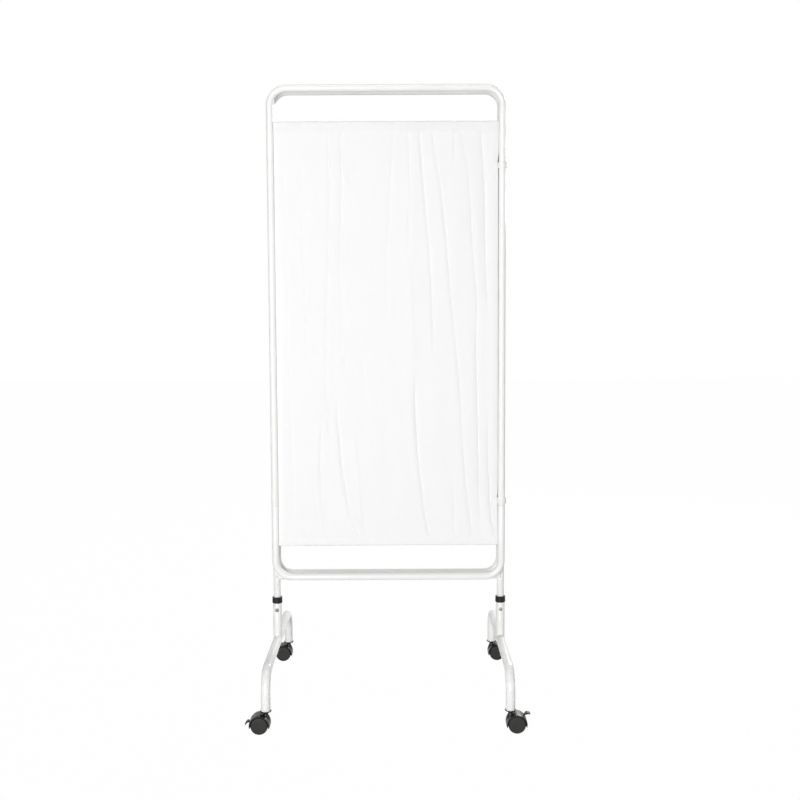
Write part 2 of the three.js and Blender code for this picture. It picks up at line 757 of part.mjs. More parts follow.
// A wheel on its inner face, outwards along Z; its flat sides touch the rolling circle
function wheel(outwards) {
  const tread = wheelRadius / Math.cos(Math.PI / WHEEL_SIDES);
  const bore = AXLE_DIAMETER / 2 + FIT_GAP;
  const geometry = turned([
    [0, HUB_DEPTH],
    [bore, HUB_DEPTH],
    [bore, 0],
    [tread, 0],
    [tread, WHEEL_WIDTH - WHEEL_EDGE],
    [tread - WHEEL_EDGE, WHEEL_WIDTH],
    [0, WHEEL_WIDTH],
  ], WHEEL_SIDES);
  geometry.translate(0, 0, wheelInnerFace);
  return atAxle(geometry.rotateX(outwards > 0 ? -Math.PI / 2 : Math.PI / 2));
}

function lever(degrees) {
  let arm = solid(slab(armShape(leverHub, LEVER_ARM / 2, 0, 0), LEVER_WIDTH));
  arm = arm.add(solid(slab(paddleShape(), PADDLE_WIDTH)));
  const bore = rod(LEVER_PIN / 2 + FIT_GAP, LEVER_WIDTH + 2 * OVERRUN, TUBE_SIDES);
  const geometry = geometryOf(arm.subtract(solid(bore.rotateX(Math.PI / 2))));
  return atAxle(atPin(geometry, degrees));
}

function castor(name, x, y, turn, leverAngle) {
  const braked = leverAngle !== null;
  const pieces = [
    piece(`${name}_insert`, insert(), 'black'),
    piece(`${name}_stem`, stem(), 'steel'),
    piece(`${name}_castor_body`, castorBody(braked), 'black'),
    piece(`${name}_axle`, axle(), 'steel'),
    piece(`${name}_front_wheel`, wheel(turn === 0 ? -1 : 1), 'tread'),
    piece(`${name}_back_wheel`, wheel(turn === 0 ? 1 : -1), 'tread'),
  ];
  if (braked) pieces.push(piece(`${name}_brake_lever`, lever(leverAngle), 'black'));
  const placed = group(pieces, x, y);
  placed.rotation.z = turn;
  return placed;
}

// The whole screen, folded
const screen = new THREE.Group();
screen.add(group(wing('front_wing', SHOWN_FOLDS), 0, -PANEL_PITCH));
screen.add(group(centreFrame()));
screen.add(group(wing('rear_wing', HIDDEN_FOLDS), 0, PANEL_PITCH));
screen.add(...clipPair('right', half, Math.PI), ...clipPair('left', -half, 0));
for (const [name, x] of [['left', -half], ['right', half]]) {
  screen.add(group(foot(name), x));
}
const reach = FOOT_LENGTH / 2;
screen.add(castor('front_left', -half, -reach, Math.PI, LEVER_DOWN));
screen.add(castor('front_right', half, -reach, 0, LEVER_UP_ANGLE));
screen.add(castor('rear_left', -half, reach, Math.PI, null));
screen.add(castor('rear_right', half, reach, 0, null));

export default screen;
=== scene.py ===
"""Looks of a folding ward screen: a centre frame on two wheeled feet, with a wing folded flat
against it in front and another behind, and a gathered curtain in each frame.

The classes hold their sizes in millimetres and the meshes are in metres. X runs along the screen,
-Y is the front, Z is up and the floor is at Z = 0.
"""
import logging
import math
from collections.abc import Callable, Sequence
from dataclasses import dataclass, field
from enum import Enum, IntEnum
from itertools import pairwise

import bmesh
import bpy
import numpy as np
from mathutils import Matrix, Vector


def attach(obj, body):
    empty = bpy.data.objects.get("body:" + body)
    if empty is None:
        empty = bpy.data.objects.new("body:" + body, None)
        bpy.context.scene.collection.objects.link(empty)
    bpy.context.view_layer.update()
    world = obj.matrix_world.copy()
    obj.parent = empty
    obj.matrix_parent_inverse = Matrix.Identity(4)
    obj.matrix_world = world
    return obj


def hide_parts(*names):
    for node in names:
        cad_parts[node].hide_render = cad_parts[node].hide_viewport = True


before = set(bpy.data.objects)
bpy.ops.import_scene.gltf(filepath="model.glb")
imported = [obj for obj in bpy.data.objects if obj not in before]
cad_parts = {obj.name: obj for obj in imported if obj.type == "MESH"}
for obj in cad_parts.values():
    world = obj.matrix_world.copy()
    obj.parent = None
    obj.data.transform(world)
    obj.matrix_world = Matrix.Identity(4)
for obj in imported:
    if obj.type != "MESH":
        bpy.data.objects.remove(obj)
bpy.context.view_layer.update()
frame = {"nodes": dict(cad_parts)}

MM = 0.001
LOG = logging.getLogger("screen")

Piece = bpy.types.Object
Socket = bpy.types.NodeSocket
Point = tuple[float, float, float]
Colour = tuple[float, float, float]
Line = tuple[tuple[float, float], ...]

# These lay down what stands along Z: towards the front, and towards +X.
TO_FRONT = Matrix.Rotation(math.pi / 2, 4, "X")
TO_SIDE = Matrix.Rotation(math.pi / 2, 4, "Y")


# Modelling


class Domain(Enum):
    """What a selection in edit mode is made of."""

    VERT = "VERT"
    EDGE = "EDGE"
    FACE = "FACE"


class Sides(IntEnum):
    """How many corners the rings of a round shape have."""

    PIN = 24
    BORE = 32
    SCREW = 40
    TUBE = 48
    SLEEVE = 64
    WHEEL = 96
    COLLAR = 144


class Draft:
    """One mesh that starts as a primitive and is shaped in edit mode.

    Lengths are in millimetres, and the mesh keeps its place in its vertices.
    """

    def __init__(self, name: str, primitive: Callable[..., object], place: Point = (0, 0, 0),
                 turn: Point = (0, 0, 0), stretch: Point = (1, 1, 1), **options: object) -> None:
        """Adds the primitive and opens it in edit mode with all of it selected.

        Args:
            name: The piece's name.
            primitive: A mesh primitive operator.
            place: Where the primitive's middle stands.
            turn: Its turn about X, Y and Z, in degrees.
            stretch: Its scale along X, Y and Z.
            options: The operator's own settings, in metres.
        """
        bpy.ops.object.select_all(action="DESELECT")
        primitive(location=Vector(place) * MM, rotation=[math.radians(a) for a in turn], **options)
        self.body = bpy.context.object
        self.body.name = name
        self.body.scale = stretch
        bpy.ops.object.transform_apply(location=True, rotation=True, scale=True)
        bpy.ops.object.mode_set(mode="EDIT")
        self.select(Domain.VERT, True)

    @classmethod
    def ring(cls, name: str, radius: float, sides: int, place: Point = (0, 0, 0)) -> "Draft":
        """Starts from an open circle that lies flat."""
        return cls(name, bpy.ops.mesh.primitive_circle_add, place, vertices=sides,
                   radius=radius * MM, fill_type="NOTHING")

    @classmethod
    def box(cls, name: str, size: Point, place: Point = (0, 0, 0)) -> "Draft":
        """Starts from a block of the given size."""
        return cls(name, bpy.ops.mesh.primitive_cube_add, place, stretch=size, size=MM)

    @classmethod
    def turned(cls, name: str, profile: Sequence[tuple[float, float]], sides: int,
               caps: tuple[bool, bool] = (True, True)) -> "Draft":
        """Draws a profile round the Z axis, ring after ring.

        Args:
            name: The piece's name.
            profile: Radius and height of each ring.
            sides: Corners of each ring.
            caps: Whether the first and the last ring are filled.

        Returns:
            The draft, still in edit mode.
        """
        draft = cls.ring(name, profile[0][0], sides, (0, 0, profile[0][1]))
        if caps[0]:
            bpy.ops.mesh.duplicate()
            bpy.ops.mesh.edge_face_add()
            draft.pick_rim(profile[0][1])
        for (radius, height), (next_radius, next_height) in pairwise(profile):
            draft.extrude(z=next_height - height)
            draft.widen(next_radius / radius, next_height)
        if caps[1]:
            bpy.ops.mesh.edge_face_add()
        return draft

    def select(self, domain: Domain, everything: bool) -> None:
        """Sets what a selection is made of, and selects all of it or nothing."""
        bpy.ops.mesh.select_mode(type=domain.value)
        bpy.ops.mesh.select_all(action="SELECT" if everything else "DESELECT")

    def pick(self, test: Callable[[Vector], bool]) -> None:
        """Selects the faces that stand where the test says, and nothing else.

        Args:
            test: Takes a face's middle in millimetres.
        """
        self.select(Domain.FACE, False)
        mesh = bmesh.from_edit_mesh(self.body.data)
        for face in mesh.faces:
            middle = sum((v.co for v in face.verts), Vector()) / len(face.verts)
            if test(middle / MM):
                face.select_set(True)
        mesh.select_flush_mode()
        bmesh.update_edit_mesh(self.body.data)

    def pick_rim(self, height: float) -> None:
        """Selects the open ring of edges at a height.

        Args:
            height: The ring's height.
        """
        self.select(Domain.EDGE, False)
        mesh = bmesh.from_edit_mesh(self.body.data)
        for edge in mesh.edges:
            level = all(abs(v.co.z / MM - height) < 1e-3 for v in edge.verts)
            if level and not edge.link_faces:
                edge.select_set(True)
        bmesh.update_edit_mesh(self.body.data)

    def extrude(self, x: float = 0, z: float = 0) -> None:
        """Extrudes the selection by a step."""
        bpy.ops.mesh.extrude_region_move(TRANSFORM_OT_translate={"value": (x * MM, 0, z * MM)})

    def widen(self, factor: float, height: float) -> None:
        """Scales the selection, which lies at a height, away from the Z axis."""
        bpy.ops.transform.resize(value=(factor, factor, 1),
                                 center_override=Vector((0, 0, height)) * MM)

    def spin(self, degrees: float, centre: Point, steps: int) -> None:
        """Sweeps the selection round an axis along Y by the right-hand rule."""
        bpy.ops.mesh.spin(steps=steps, angle=-math.radians(degrees), center=Vector(centre) * MM,
                          axis=(0, 1, 0))

    def rotate(self, degrees: float) -> None:
        """Turns the selection about the Y axis by the right-hand rule."""
        bpy.ops.transform.rotate(value=-math.radians(degrees), orient_axis="Y",
                                 center_override=(0, 0, 0))

    def each_vertex(self, move: Callable[[Vector], Vector]) -> None:
        """Moves every corner to where the function puts it, in millimetres.

        Args:
            move: Takes a corner and returns its new place.
        """
        mesh = bmesh.from_edit_mesh(self.body.data)
        for vertex in mesh.verts:
            vertex.co = move(vertex.co / MM) * MM
        bmesh.update_edit_mesh(self.body.data)

    def close(self, gap: float = 0.004) -> None:
        """Merges corners nearer to each other than the gap and turns the faces outwards.

        Args:
            gap: The widest gap that is closed, in millimetres.
        """
        self.select(Domain.VERT, True)
        bpy.ops.mesh.remove_doubles(threshold=gap * MM)
        bpy.ops.mesh.normals_make_consistent(inside=False)

    def done(self, smooth: float = 35) -> Piece:
        """Closes the mesh and leaves edit mode.

        Args:
            smooth: Edges flatter than this many degrees are shaded smooth.

        Returns:
            The finished object.
        """
        self.close()
        bpy.ops.object.mode_set(mode="OBJECT")
        return shade(self.body, smooth)


def only(piece: Piece) -> None:
    """Makes one object the selected and active one.

    Args:
        piece: The object to select.
    """
    bpy.ops.object.select_all(action="DESELECT")
    piece.select_set(True)
    bpy.context.view_layer.objects.active = piece


def shade(piece: Piece, smooth: float) -> Piece:
    """Shades edges smooth where they are flatter than an angle in degrees.

    Args:
        piece: The object to shade.
        smooth: The angle.

    Returns:
        The same object.
    """
    only(piece)
    bpy.ops.object.shade_smooth_by_angle(angle=math.radians(smooth))
    return piece


def modify(piece: Piece, kind: str, **settings: object) -> Piece:
    """Adds a modifier and applies it.

    Args:
        piece: The object that is changed.
        kind: The modifier's type.
        settings: The modifier's own settings.

    Returns:
        The same object.
    """
    only(piece)
    modifier = piece.modifiers.new(kind.title(), kind)
    for name, value in settings.items():
        setattr(modifier, name, value)
    bpy.ops.object.modifier_apply(modifier=modifier.name)
    return piece


def rounded(piece: Piece, width: float, segments: int = 2, above: float = 50,
            smooth: float = 35) -> Piece:
    """Rounds a piece's sharp edges.

    Args:
        piece: The object whose edges are rounded.
        width: The round's width, in millimetres.
        segments: Faces across the round.
        above: Edges sharper than this many degrees are rounded.
        smooth: Edges flatter than this many degrees are shaded smooth.

    Returns:
        The same object.
    """
    modify(piece, "BEVEL", width=width * MM, segments=segments, limit_method="ANGLE",
           angle_limit=math.radians(above), harden_normals=False)
    return shade(piece, smooth)


def combined(piece: Piece, tool: Piece, operation: str) -> Piece:
    """Joins a tool's shape to a piece or cuts it away, and removes the tool.

    Args:
        piece: The object that is changed.
        tool: The shape that is joined or cut away.
        operation: UNION or DIFFERENCE.

    Returns:
        The changed piece.
    """
    modify(piece, "BOOLEAN", operation=operation, solver="EXACT", object=tool)
    bpy.data.objects.remove(tool)
    return piece


def placed(piece: Piece, name: str, matrix: Matrix) -> Piece:
    """Copies a piece with its own mesh and moves the copy's corners.

    Args:
        piece: The modelled piece, at its own place.
        name: The copy's name.
        matrix: The move, in metres.

    Returns:
        The copy, with its origin at the world's.
    """
    copy = piece.copy()
    copy.data = piece.data.copy()
    copy.name = name
    copy.data.name = name
    copy.data.transform(matrix)
    bpy.context.scene.collection.objects.link(copy)
    return copy


def at(x: float = 0, y: float = 0, z: float = 0, turn: float = 0) -> Matrix:
    """A move in millimetres after a turn about Z in degrees."""
    return Matrix.Translation(Vector((x, y, z)) * MM) @ Matrix.Rotation(math.radians(turn), 4, "Z")


def round_bar(radius: float, low: float, high: float, sides: int, place: Matrix) -> Piece:
    """A closed round bar, to be joined to a piece or cut out of it.

    Args:
        radius: The bar's radius.
        low: Height of its lower end, while it stands along Z.
        high: Height of its upper end.
        sides: Corners of each ring.
        place: The move to its place, in metres.

    Returns:
        The bar.
    """
    bar = Draft.turned("bar", [(radius, low), (radius, high)], sides).done()
    bar.data.transform(place)
    return bar


def ramp(value: np.ndarray, reach: float) -> np.ndarray:
    """Shares that grow from 0 to 1 while the value grows from 0 to the reach."""
    return np.clip(value / reach, 0, 1)


def eased(share: float | np.ndarray) -> float | np.ndarray:
    """Makes a share from 0 to 1 start and end gently."""
    return share * share * (3 - 2 * share)


def walked(line: np.ndarray) -> np.ndarray:
    """How far each point of a line is from its first one, along the line."""
    return np.concatenate([[0], np.cumsum(np.linalg.norm(np.diff(line, axis=0), axis=1))])


# Finishes


class NodeBoard:
    """Adds and links the nodes of one shader tree."""

    def __init__(self, tree: bpy.types.NodeTree) -> None:
        """Starts from an empty tree."""
        tree.nodes.clear()
        self.tree = tree

    def add(self, kind: str, inputs: dict | None = None, **settings: object) -> bpy.types.Node:
        """Adds a node.

        Args:
            kind: The node's type, without its ShaderNode prefix.
            inputs: Values or sockets for its inputs, by name or number.
            settings: The node's own properties.

        Returns:
            The node.
        """
        name = kind if kind.startswith("NodeGroup") else f"ShaderNode{kind}"
        node = self.tree.nodes.new(name)
        for key, value in settings.items():
            setattr(node, key, value)
        for key, value in (inputs or {}).items():
            if isinstance(value, Socket):
                self.tree.links.new(value, node.inputs[key])
            else:
                node.inputs[key].default_value = value
        return node

    def math(self, operation: str, *values: object, clamp: bool = False) -> Socket:
        """Adds a Math node and returns its result."""
        node = self.add("Math", dict(enumerate(values)), operation=operation, use_clamp=clamp)
        return node.outputs[0]

    def span(self, value: object, low: float, high: float, to_low: float = 0,
             to_high: float = 1) -> Socket:
        """Maps a range of values smoothly to another and returns the result.

        Args:
            value: The value or socket that is mapped.
            low: The range's start.
            high: The range's end.
            to_low: What the start becomes.
            to_high: What the end becomes.

        Returns:
            The mapped value.
        """
        inputs = {"Value": value, "From Min": low, "From Max": high, "To Min": to_low,
                  "To Max": to_high}
        return self.add("MapRange", inputs, interpolation_type="SMOOTHSTEP").outputs[0]

    def mix(self, factor: object, first: object, second: object) -> Socket:
        """Mixes two colours and returns the result."""
        return self.add("Mix", {0: factor, 6: first, 7: second}, data_type="RGBA").outputs[2]

    def noise(self, vector: Socket, scale: float, detail: float = 2,
              roughness: float = 0.5) -> Socket:
        """Adds a noise of a given scale per metre and returns its value."""
        inputs = {"Vector": vector, "Scale": scale, "Detail": detail, "Roughness": roughness}
        return self.add("TexNoise", inputs).outputs["Fac"]


def new_group(name: str, inputs: Sequence[tuple[str, str, float]],
              outputs: Sequence[str]) -> tuple[NodeBoard, bpy.types.Node, bpy.types.Node]:
    """Makes a shader node group.

    Args:
        name: The group's name.
        inputs: Name, socket type and starting value of each input.
        outputs: Name of each output, all plain numbers.

    Returns:
        The group's board and its input and output nodes.
    """
    tree = bpy.data.node_groups.new(name, "ShaderNodeTree")
    for label, kind, value in inputs:
        socket = tree.interface.new_socket(label, in_out="INPUT", socket_type=kind)
        if kind == "NodeSocketFloat":
            socket.default_value = value
    for label in outputs:
        tree.interface.new_socket(label, in_out="OUTPUT", socket_type="NodeSocketFloat")
    board = NodeBoard(tree)
    return board, board.add("NodeGroupInput"), board.add("NodeGroupOutput")


def grain_group() -> bpy.types.NodeTree:
    """A fine uneven skin: the ripple of sprayed enamel or the grain of moulded plastic.

    Returns:
        The group, made once, with the outputs Height and Drift.
    """
    name = "Skin grain"
    if name in bpy.data.node_groups:
        return bpy.data.node_groups[name]
    inputs = [("Vector", "NodeSocketVector", 0), ("Scale", "NodeSocketFloat", 900),
              ("Pits", "NodeSocketFloat", 0.3)]
    board, given, result = new_group(name, inputs, ["Height", "Drift"])
    vector = given.outputs["Vector"]
    fine = board.add("TexNoise", {"Vector": vector, "Scale": given.outputs["Scale"], "Detail": 3.0})
    cells = board.add("TexVoronoi", {"Vector": vector, "Scale": given.outputs["Scale"]},
                      feature="SMOOTH_F1")
    pits = board.math("MULTIPLY", cells.outputs["Distance"], given.outputs["Pits"])
    height = board.math("ADD", fine.outputs["Fac"], pits)
    board.tree.links.new(height, result.inputs["Height"])
    board.tree.links.new(board.noise(vector, 9.0, 4), result.inputs["Drift"])
    return board.tree


def dust_and_sheen_group() -> bpy.types.NodeTree:
    """A thin dust that lies on what faces up and gathers in patches; on the dark plastics its
    lighter colour is also a painted sheen on their tops.

    Returns:
        The group, made once, with the output Mask.
    """
    name = "Settled dust"
    if name in bpy.data.node_groups:
        return bpy.data.node_groups[name]
    inputs = [("Vector", "NodeSocketVector", 0), ("Amount", "NodeSocketFloat", 0.2)]
    board, given, result = new_group(name, inputs, ["Mask"])
    normal = board.add("SeparateXYZ", {0: board.add("NewGeometry").outputs["Normal"]}).outputs[2]
    # Most of it goes on faces that point up: dust, and on the dark plastics a painted sheen on
    # their tops.
    facing = board.span(normal, 0.1, 1.0, 0.15, 1.0)
    patches = board.span(board.noise(given.outputs["Vector"], 38.0, 5, 0.62), 0.35, 0.75)
    mask = board.math("MULTIPLY", board.math("MULTIPLY", facing, patches), given.outputs["Amount"])
    board.tree.links.new(mask, result.inputs["Mask"])
    return board.tree


def made_once(name: str, shader: Callable[[NodeBoard], Socket]) -> bpy.types.Material:
    """Finds a material by its name, or makes it.

    Args:
        name: The material's name.
        shader: Adds the material's nodes and returns its surface.

    Returns:
        The material.
    """
    if name not in bpy.data.materials:
        made = bpy.data.materials.new(name)
        made.use_nodes = True
        board = NodeBoard(made.node_tree)
        board.add("OutputMaterial", {"Surface": shader(board)})
    return bpy.data.materials[name]


@dataclass(frozen=True)
class Finish:
    """A surface with a grain, a slow drift of tone and a little dust, which on the dark plastics is
    also a painted sheen on their tops.

    Colours are linear. scale is the grain's cells per metre and relief its height in millimetres.
    """

    name: str
    slot: str
    base: Colour
    second: Colour
    dust_and_sheen: Colour = (0.5, 0.48, 0.45)
    dust_and_sheen_amount: float = 0.1
    dust_roughness: float = 0.4
    roughness: float = 0.3
    roughness_spread: float = 0.08
    metallic: float = 0.0
    specular: float = 0.5
    scale: float = 900.0
    pits: float = 0.3
    relief: float = 0.02
    strength: float = 0.2
    stretch: Point = (1, 1, 1)

    def material(self) -> bpy.types.Material:
        """The finish's material, made once."""
        return made_once(self.name, self.shader)

    def shader(self, board: NodeBoard) -> Socket:
        """Adds the finish's nodes and returns its surface.

        Args:
            board: The material's board.

        Returns:
            The surface's socket.
        """
        place = board.add("TexCoord").outputs["Object"]
        grain = self.grain(board, place)
        dust_and_sheen = board.add("Group", node_tree=dust_and_sheen_group())
        board.tree.links.new(place, dust_and_sheen.inputs["Vector"])
        dust_and_sheen.inputs["Amount"].default_value = self.dust_and_sheen_amount
        drift = board.span(grain.outputs["Drift"], 0.3, 0.7)
        colour = board.mix(drift, (*self.base, 1), (*self.second, 1))
        # Dust on what faces up; on the dark plastics its lighter colour is also a painted sheen on
        # their tops.
        colour = board.mix(dust_and_sheen.outputs["Mask"], colour, (*self.dust_and_sheen, 1))
        low, high = self.roughness - self.roughness_spread, self.roughness + self.roughness_spread
        gloss = board.span(grain.outputs["Drift"], 0.25, 0.75, low, high)
        dulled = board.math("MULTIPLY", dust_and_sheen.outputs["Mask"], self.dust_roughness)
        gloss = board.math("ADD", gloss, dulled, clamp=True)
        bump = board.add("Bump", {"Strength": self.strength, "Distance": self.relief * MM,
                                  "Height": grain.outputs["Height"]})
        surface = board.add("BsdfPrincipled", {"Base Color": colour, "Roughness": gloss,
                                               "Metallic": self.metallic,
                                               "Specular IOR Level": self.specular,
                                               "Normal": bump.outputs[0]})
        return surface.outputs[0]

    def grain(self, board: NodeBoard, place: Socket) -> bpy.types.Node:
        """Places the grain group, drawn out along the finish's stretch.

        Args:
            board: The material's board.
            place: Where the pattern is read.

        Returns:
            The group's node.
        """
        mapped = board.add("Mapping", {"Vector": place, "Scale": self.stretch})
        node = board.add("Group", node_tree=grain_group())
        board.tree.links.new(mapped.outputs[0], node.inputs["Vector"])
        node.inputs["Scale"].default_value = self.scale
        node.inputs["Pits"].default_value = self.pits
        return node


@dataclass(frozen=True)
class ClothFinish:
    """Plain-woven cotton and polyester, read from the cloth's own UV map in metres.

    thread and relief are in millimetres. painted_pocket_shade is painted shade on the upper pocket,
    where the cloth
    lies double: a darker tone for the light that the double cloth holds back. It ends between the
    two places along the flat cloth in painted_pocket_shade_end.
    """

    name: str = "Curtain cloth"
    slot: str = "cloth"
    base: Colour = (0.905, 0.9035, 0.9045)
    shade: Colour = (0.879, 0.878, 0.8785)
    # Painted shade on the upper pocket, where the cloth lies double: a darker tone for the light it
    # holds back, and where that tone ends.
    painted_pocket_shade: Colour = (0.868, 0.867, 0.868)
    painted_pocket_shade_end: tuple[float, float] = (0.059, 0.063)
    thread: float = 0.55
    slub_share: float = 0.6
    relief: float = 0.09
    strength: float = 0.35
    roughness: float = 0.85
    roughness_spread: float = 0.06
    sheen: float = 0.15
    sheen_roughness: float = 0.4
    specular: float = 0.25

    def material(self) -> bpy.types.Material:
        """The cloth's material, made once."""
        return made_once(self.name, self.shader)

    def shader(self, board: NodeBoard) -> Socket:
        """Adds the cloth's nodes and returns its surface.

        Args:
            board: The material's board.

        Returns:
            The surface's socket.
        """
        flat = board.add("UVMap", uv_map=ClothSheet.UV_NAME).outputs[0]
        across, along, _ = board.add("SeparateXYZ", {0: flat}).outputs
        weave, warp, weft = self.weave(board, across, along)
        slub = board.math("MULTIPLY", self.slub(board, flat), self.slub_share)
        tone = board.math("ADD", slub, board.math("MULTIPLY", weave, 1 - self.slub_share))
        colour = board.mix(board.span(tone, 0.25, 0.75), (*self.shade, 1), (*self.base, 1))
        # Painted shade: the upper pocket, where the cloth lies double, takes a darker tone for the
        # light it holds back.
        full, none = self.painted_pocket_shade_end
        colour = board.mix(board.span(along, none, full), colour, (*self.painted_pocket_shade, 1))
        bump = board.add("Bump", {"Strength": self.strength, "Distance": self.relief * MM,
                                  "Height": board.math("ADD", weave, slub)})
        gloss = board.span(board.math("ADD", warp, weft), -1.5, 1.5,
                           self.roughness + self.roughness_spread,
                           self.roughness - self.roughness_spread)
        surface = board.add("BsdfPrincipled", {"Base Color": colour, "Roughness": gloss,
                                               "Sheen Weight": self.sheen,
                                               "Sheen Roughness": self.sheen_roughness,
                                               "Specular IOR Level": self.specular,
                                               "Normal": bump.outputs[0]})
        return surface.outputs[0]

    def weave(self, board: NodeBoard, across: Socket, along: Socket) -> tuple[Socket, ...]:
        """Over and under of the warp and weft threads.

        Args:
            board: The material's board.
            across: Place across the flat cloth, in metres.
            along: Place along the flat cloth, in metres.

        Returns:
            The weave's height and the waves of the warp and of the weft.
        """
        turns = math.pi / (self.thread * MM)
        warp = board.math("SINE", board.math("MULTIPLY", across, turns))
        weft = board.math("SINE", board.math("MULTIPLY", along, turns))
        crossing = board.math("MULTIPLY", warp, weft)
        return board.math("MULTIPLY_ADD", crossing, 0.5, 0.5), warp, weft

    def slub(self, board: NodeBoard, flat: Socket) -> Socket:
        """Thicker and thinner stretches of the threads in both directions.

        Args:
            board: The material's board.
            flat: Place on the flat cloth.

        Returns:
            The slub, around one half.
        """
        drawn = []
        for scale in ((900.0, 14.0, 1.0), (14.0, 900.0, 1.0)):
            mapped = board.add("Mapping", {"Vector": flat, "Scale": scale})
            drawn.append(board.noise(mapped.outputs[0], 1.0))
        return board.math("MULTIPLY", board.math("ADD", *drawn), 0.5)


class Looks:
    """The finishes of the screen."""

    ENAMEL = Finish("White enamel", "frame_paint", (0.89, 0.887, 0.875), (0.87, 0.866, 0.85),
                    dust_and_sheen_amount=0.05, roughness=0.24, roughness_spread=0.03, specular=0.4,
                    scale=420.0, pits=0.1, relief=0.02, strength=0.1)
    CLIP = Finish("White clip plastic", "clip_plastic", (0.86, 0.855, 0.84), (0.82, 0.81, 0.79),
                  dust_and_sheen_amount=0.06, roughness=0.36, scale=1500.0, relief=0.015)
    # The black plastic takes a light brownish dust colour: it is dust and a painted sheen on its
    # tops.
    BLACK = Finish("Black moulded plastic", "black_plastic", (0.007, 0.007, 0.007),
                   (0.011, 0.0105, 0.01), dust_and_sheen=(0.2, 0.18, 0.16), dust_and_sheen_amount=0.2, roughness=0.3,
                   specular=0.25, scale=1800.0, pits=0.7, relief=0.05, strength=0.35)
    # As on the black plastic, this dust colour is dust and a painted sheen on the wheels' tops.
    WHEEL = Finish("Charcoal wheel plastic", "wheel_plastic", (0.02, 0.02, 0.0205),
                   (0.03, 0.03, 0.0285), dust_and_sheen=(0.2, 0.19, 0.17), dust_and_sheen_amount=0.15, roughness=0.5,
                   specular=0.2, scale=1300.0, pits=0.9, relief=0.08, strength=0.5)
    ZINC = Finish("Zinc-plated steel", "steel", (0.3, 0.25, 0.2), (0.2, 0.165, 0.135),
                  dust_and_sheen_amount=0.12, roughness=0.32, roughness_spread=0.12, metallic=1.0,
                  scale=500.0, relief=0.02, stretch=(1, 1, 6))
    CLOTH = ClothFinish()


def dress(piece: Piece, finish: Finish | ClothFinish, body: str,
          *stands_for: str) -> Piece:
    """Gives a piece its finish, its body and the CAD nodes that it stands for.

    Args:
        piece: The finished mesh.
        finish: What it is made of.
        body: The CAD body that it rides on.
        stands_for: The CAD nodes that it replaces.

    Returns:
        The same piece.
    """
    piece.data.materials.clear()
    piece.data.materials.append(finish.material())
    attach(piece, body)
    if stands_for:
        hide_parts(*stands_for)
    LOG.info("%s rides on %s, %d faces", piece.name, body, len(piece.data.polygons))
    return piece


def dress_node(name: str, finish: Finish) -> None:
    """Gives a CAD node that stays its finish.

    Args:
        name: The CAD node's name.
        finish: What it is made of.
    """
    slots = frame["nodes"][name].data.materials
    slots.clear()
    slots.append(finish.material())
    LOG.info("%s keeps its CAD shape", name)


# Frames


@dataclass(frozen=True)
class TubeSizes:
    """A round tube and how it is bent."""

    radius: float = 10.0
    wall: float = 1.2
    sides: int = Sides.TUBE
    bend: float = 46.0
    bend_steps: int = 14
    rim: float = 0.35


def arch_tube(name: str, tube: TubeSizes, reach: float, top: float, foot: float) -> Piece:
    """A tube bent into an arch in the XZ plane, open at both feet.

    Args:
        name: The piece's name.
        tube: The tube's sizes.
        reach: From the middle to a leg's centre line.
        top: Height of the level run's centre line.
        foot: Height of the legs' ends.

    Returns:
        The finished tube with its wall.
    """
    shoulder = top - tube.bend
    draft = Draft.ring(name, tube.radius, tube.sides, (-reach, 0, foot))
    draft.extrude(z=shoulder - foot)
    draft.spin(90, (-reach + tube.bend, 0, shoulder), tube.bend_steps)
    draft.extrude(x=2 * (reach - tube.bend))
    draft.spin(90, (reach - tube.bend, 0, shoulder), tube.bend_steps)
    draft.extrude(z=foot - shoulder)
    piece = draft.done()
    modify(piece, "SOLIDIFY", thickness=tube.wall * MM, offset=-1)
    return rounded(piece, tube.rim, above=70)


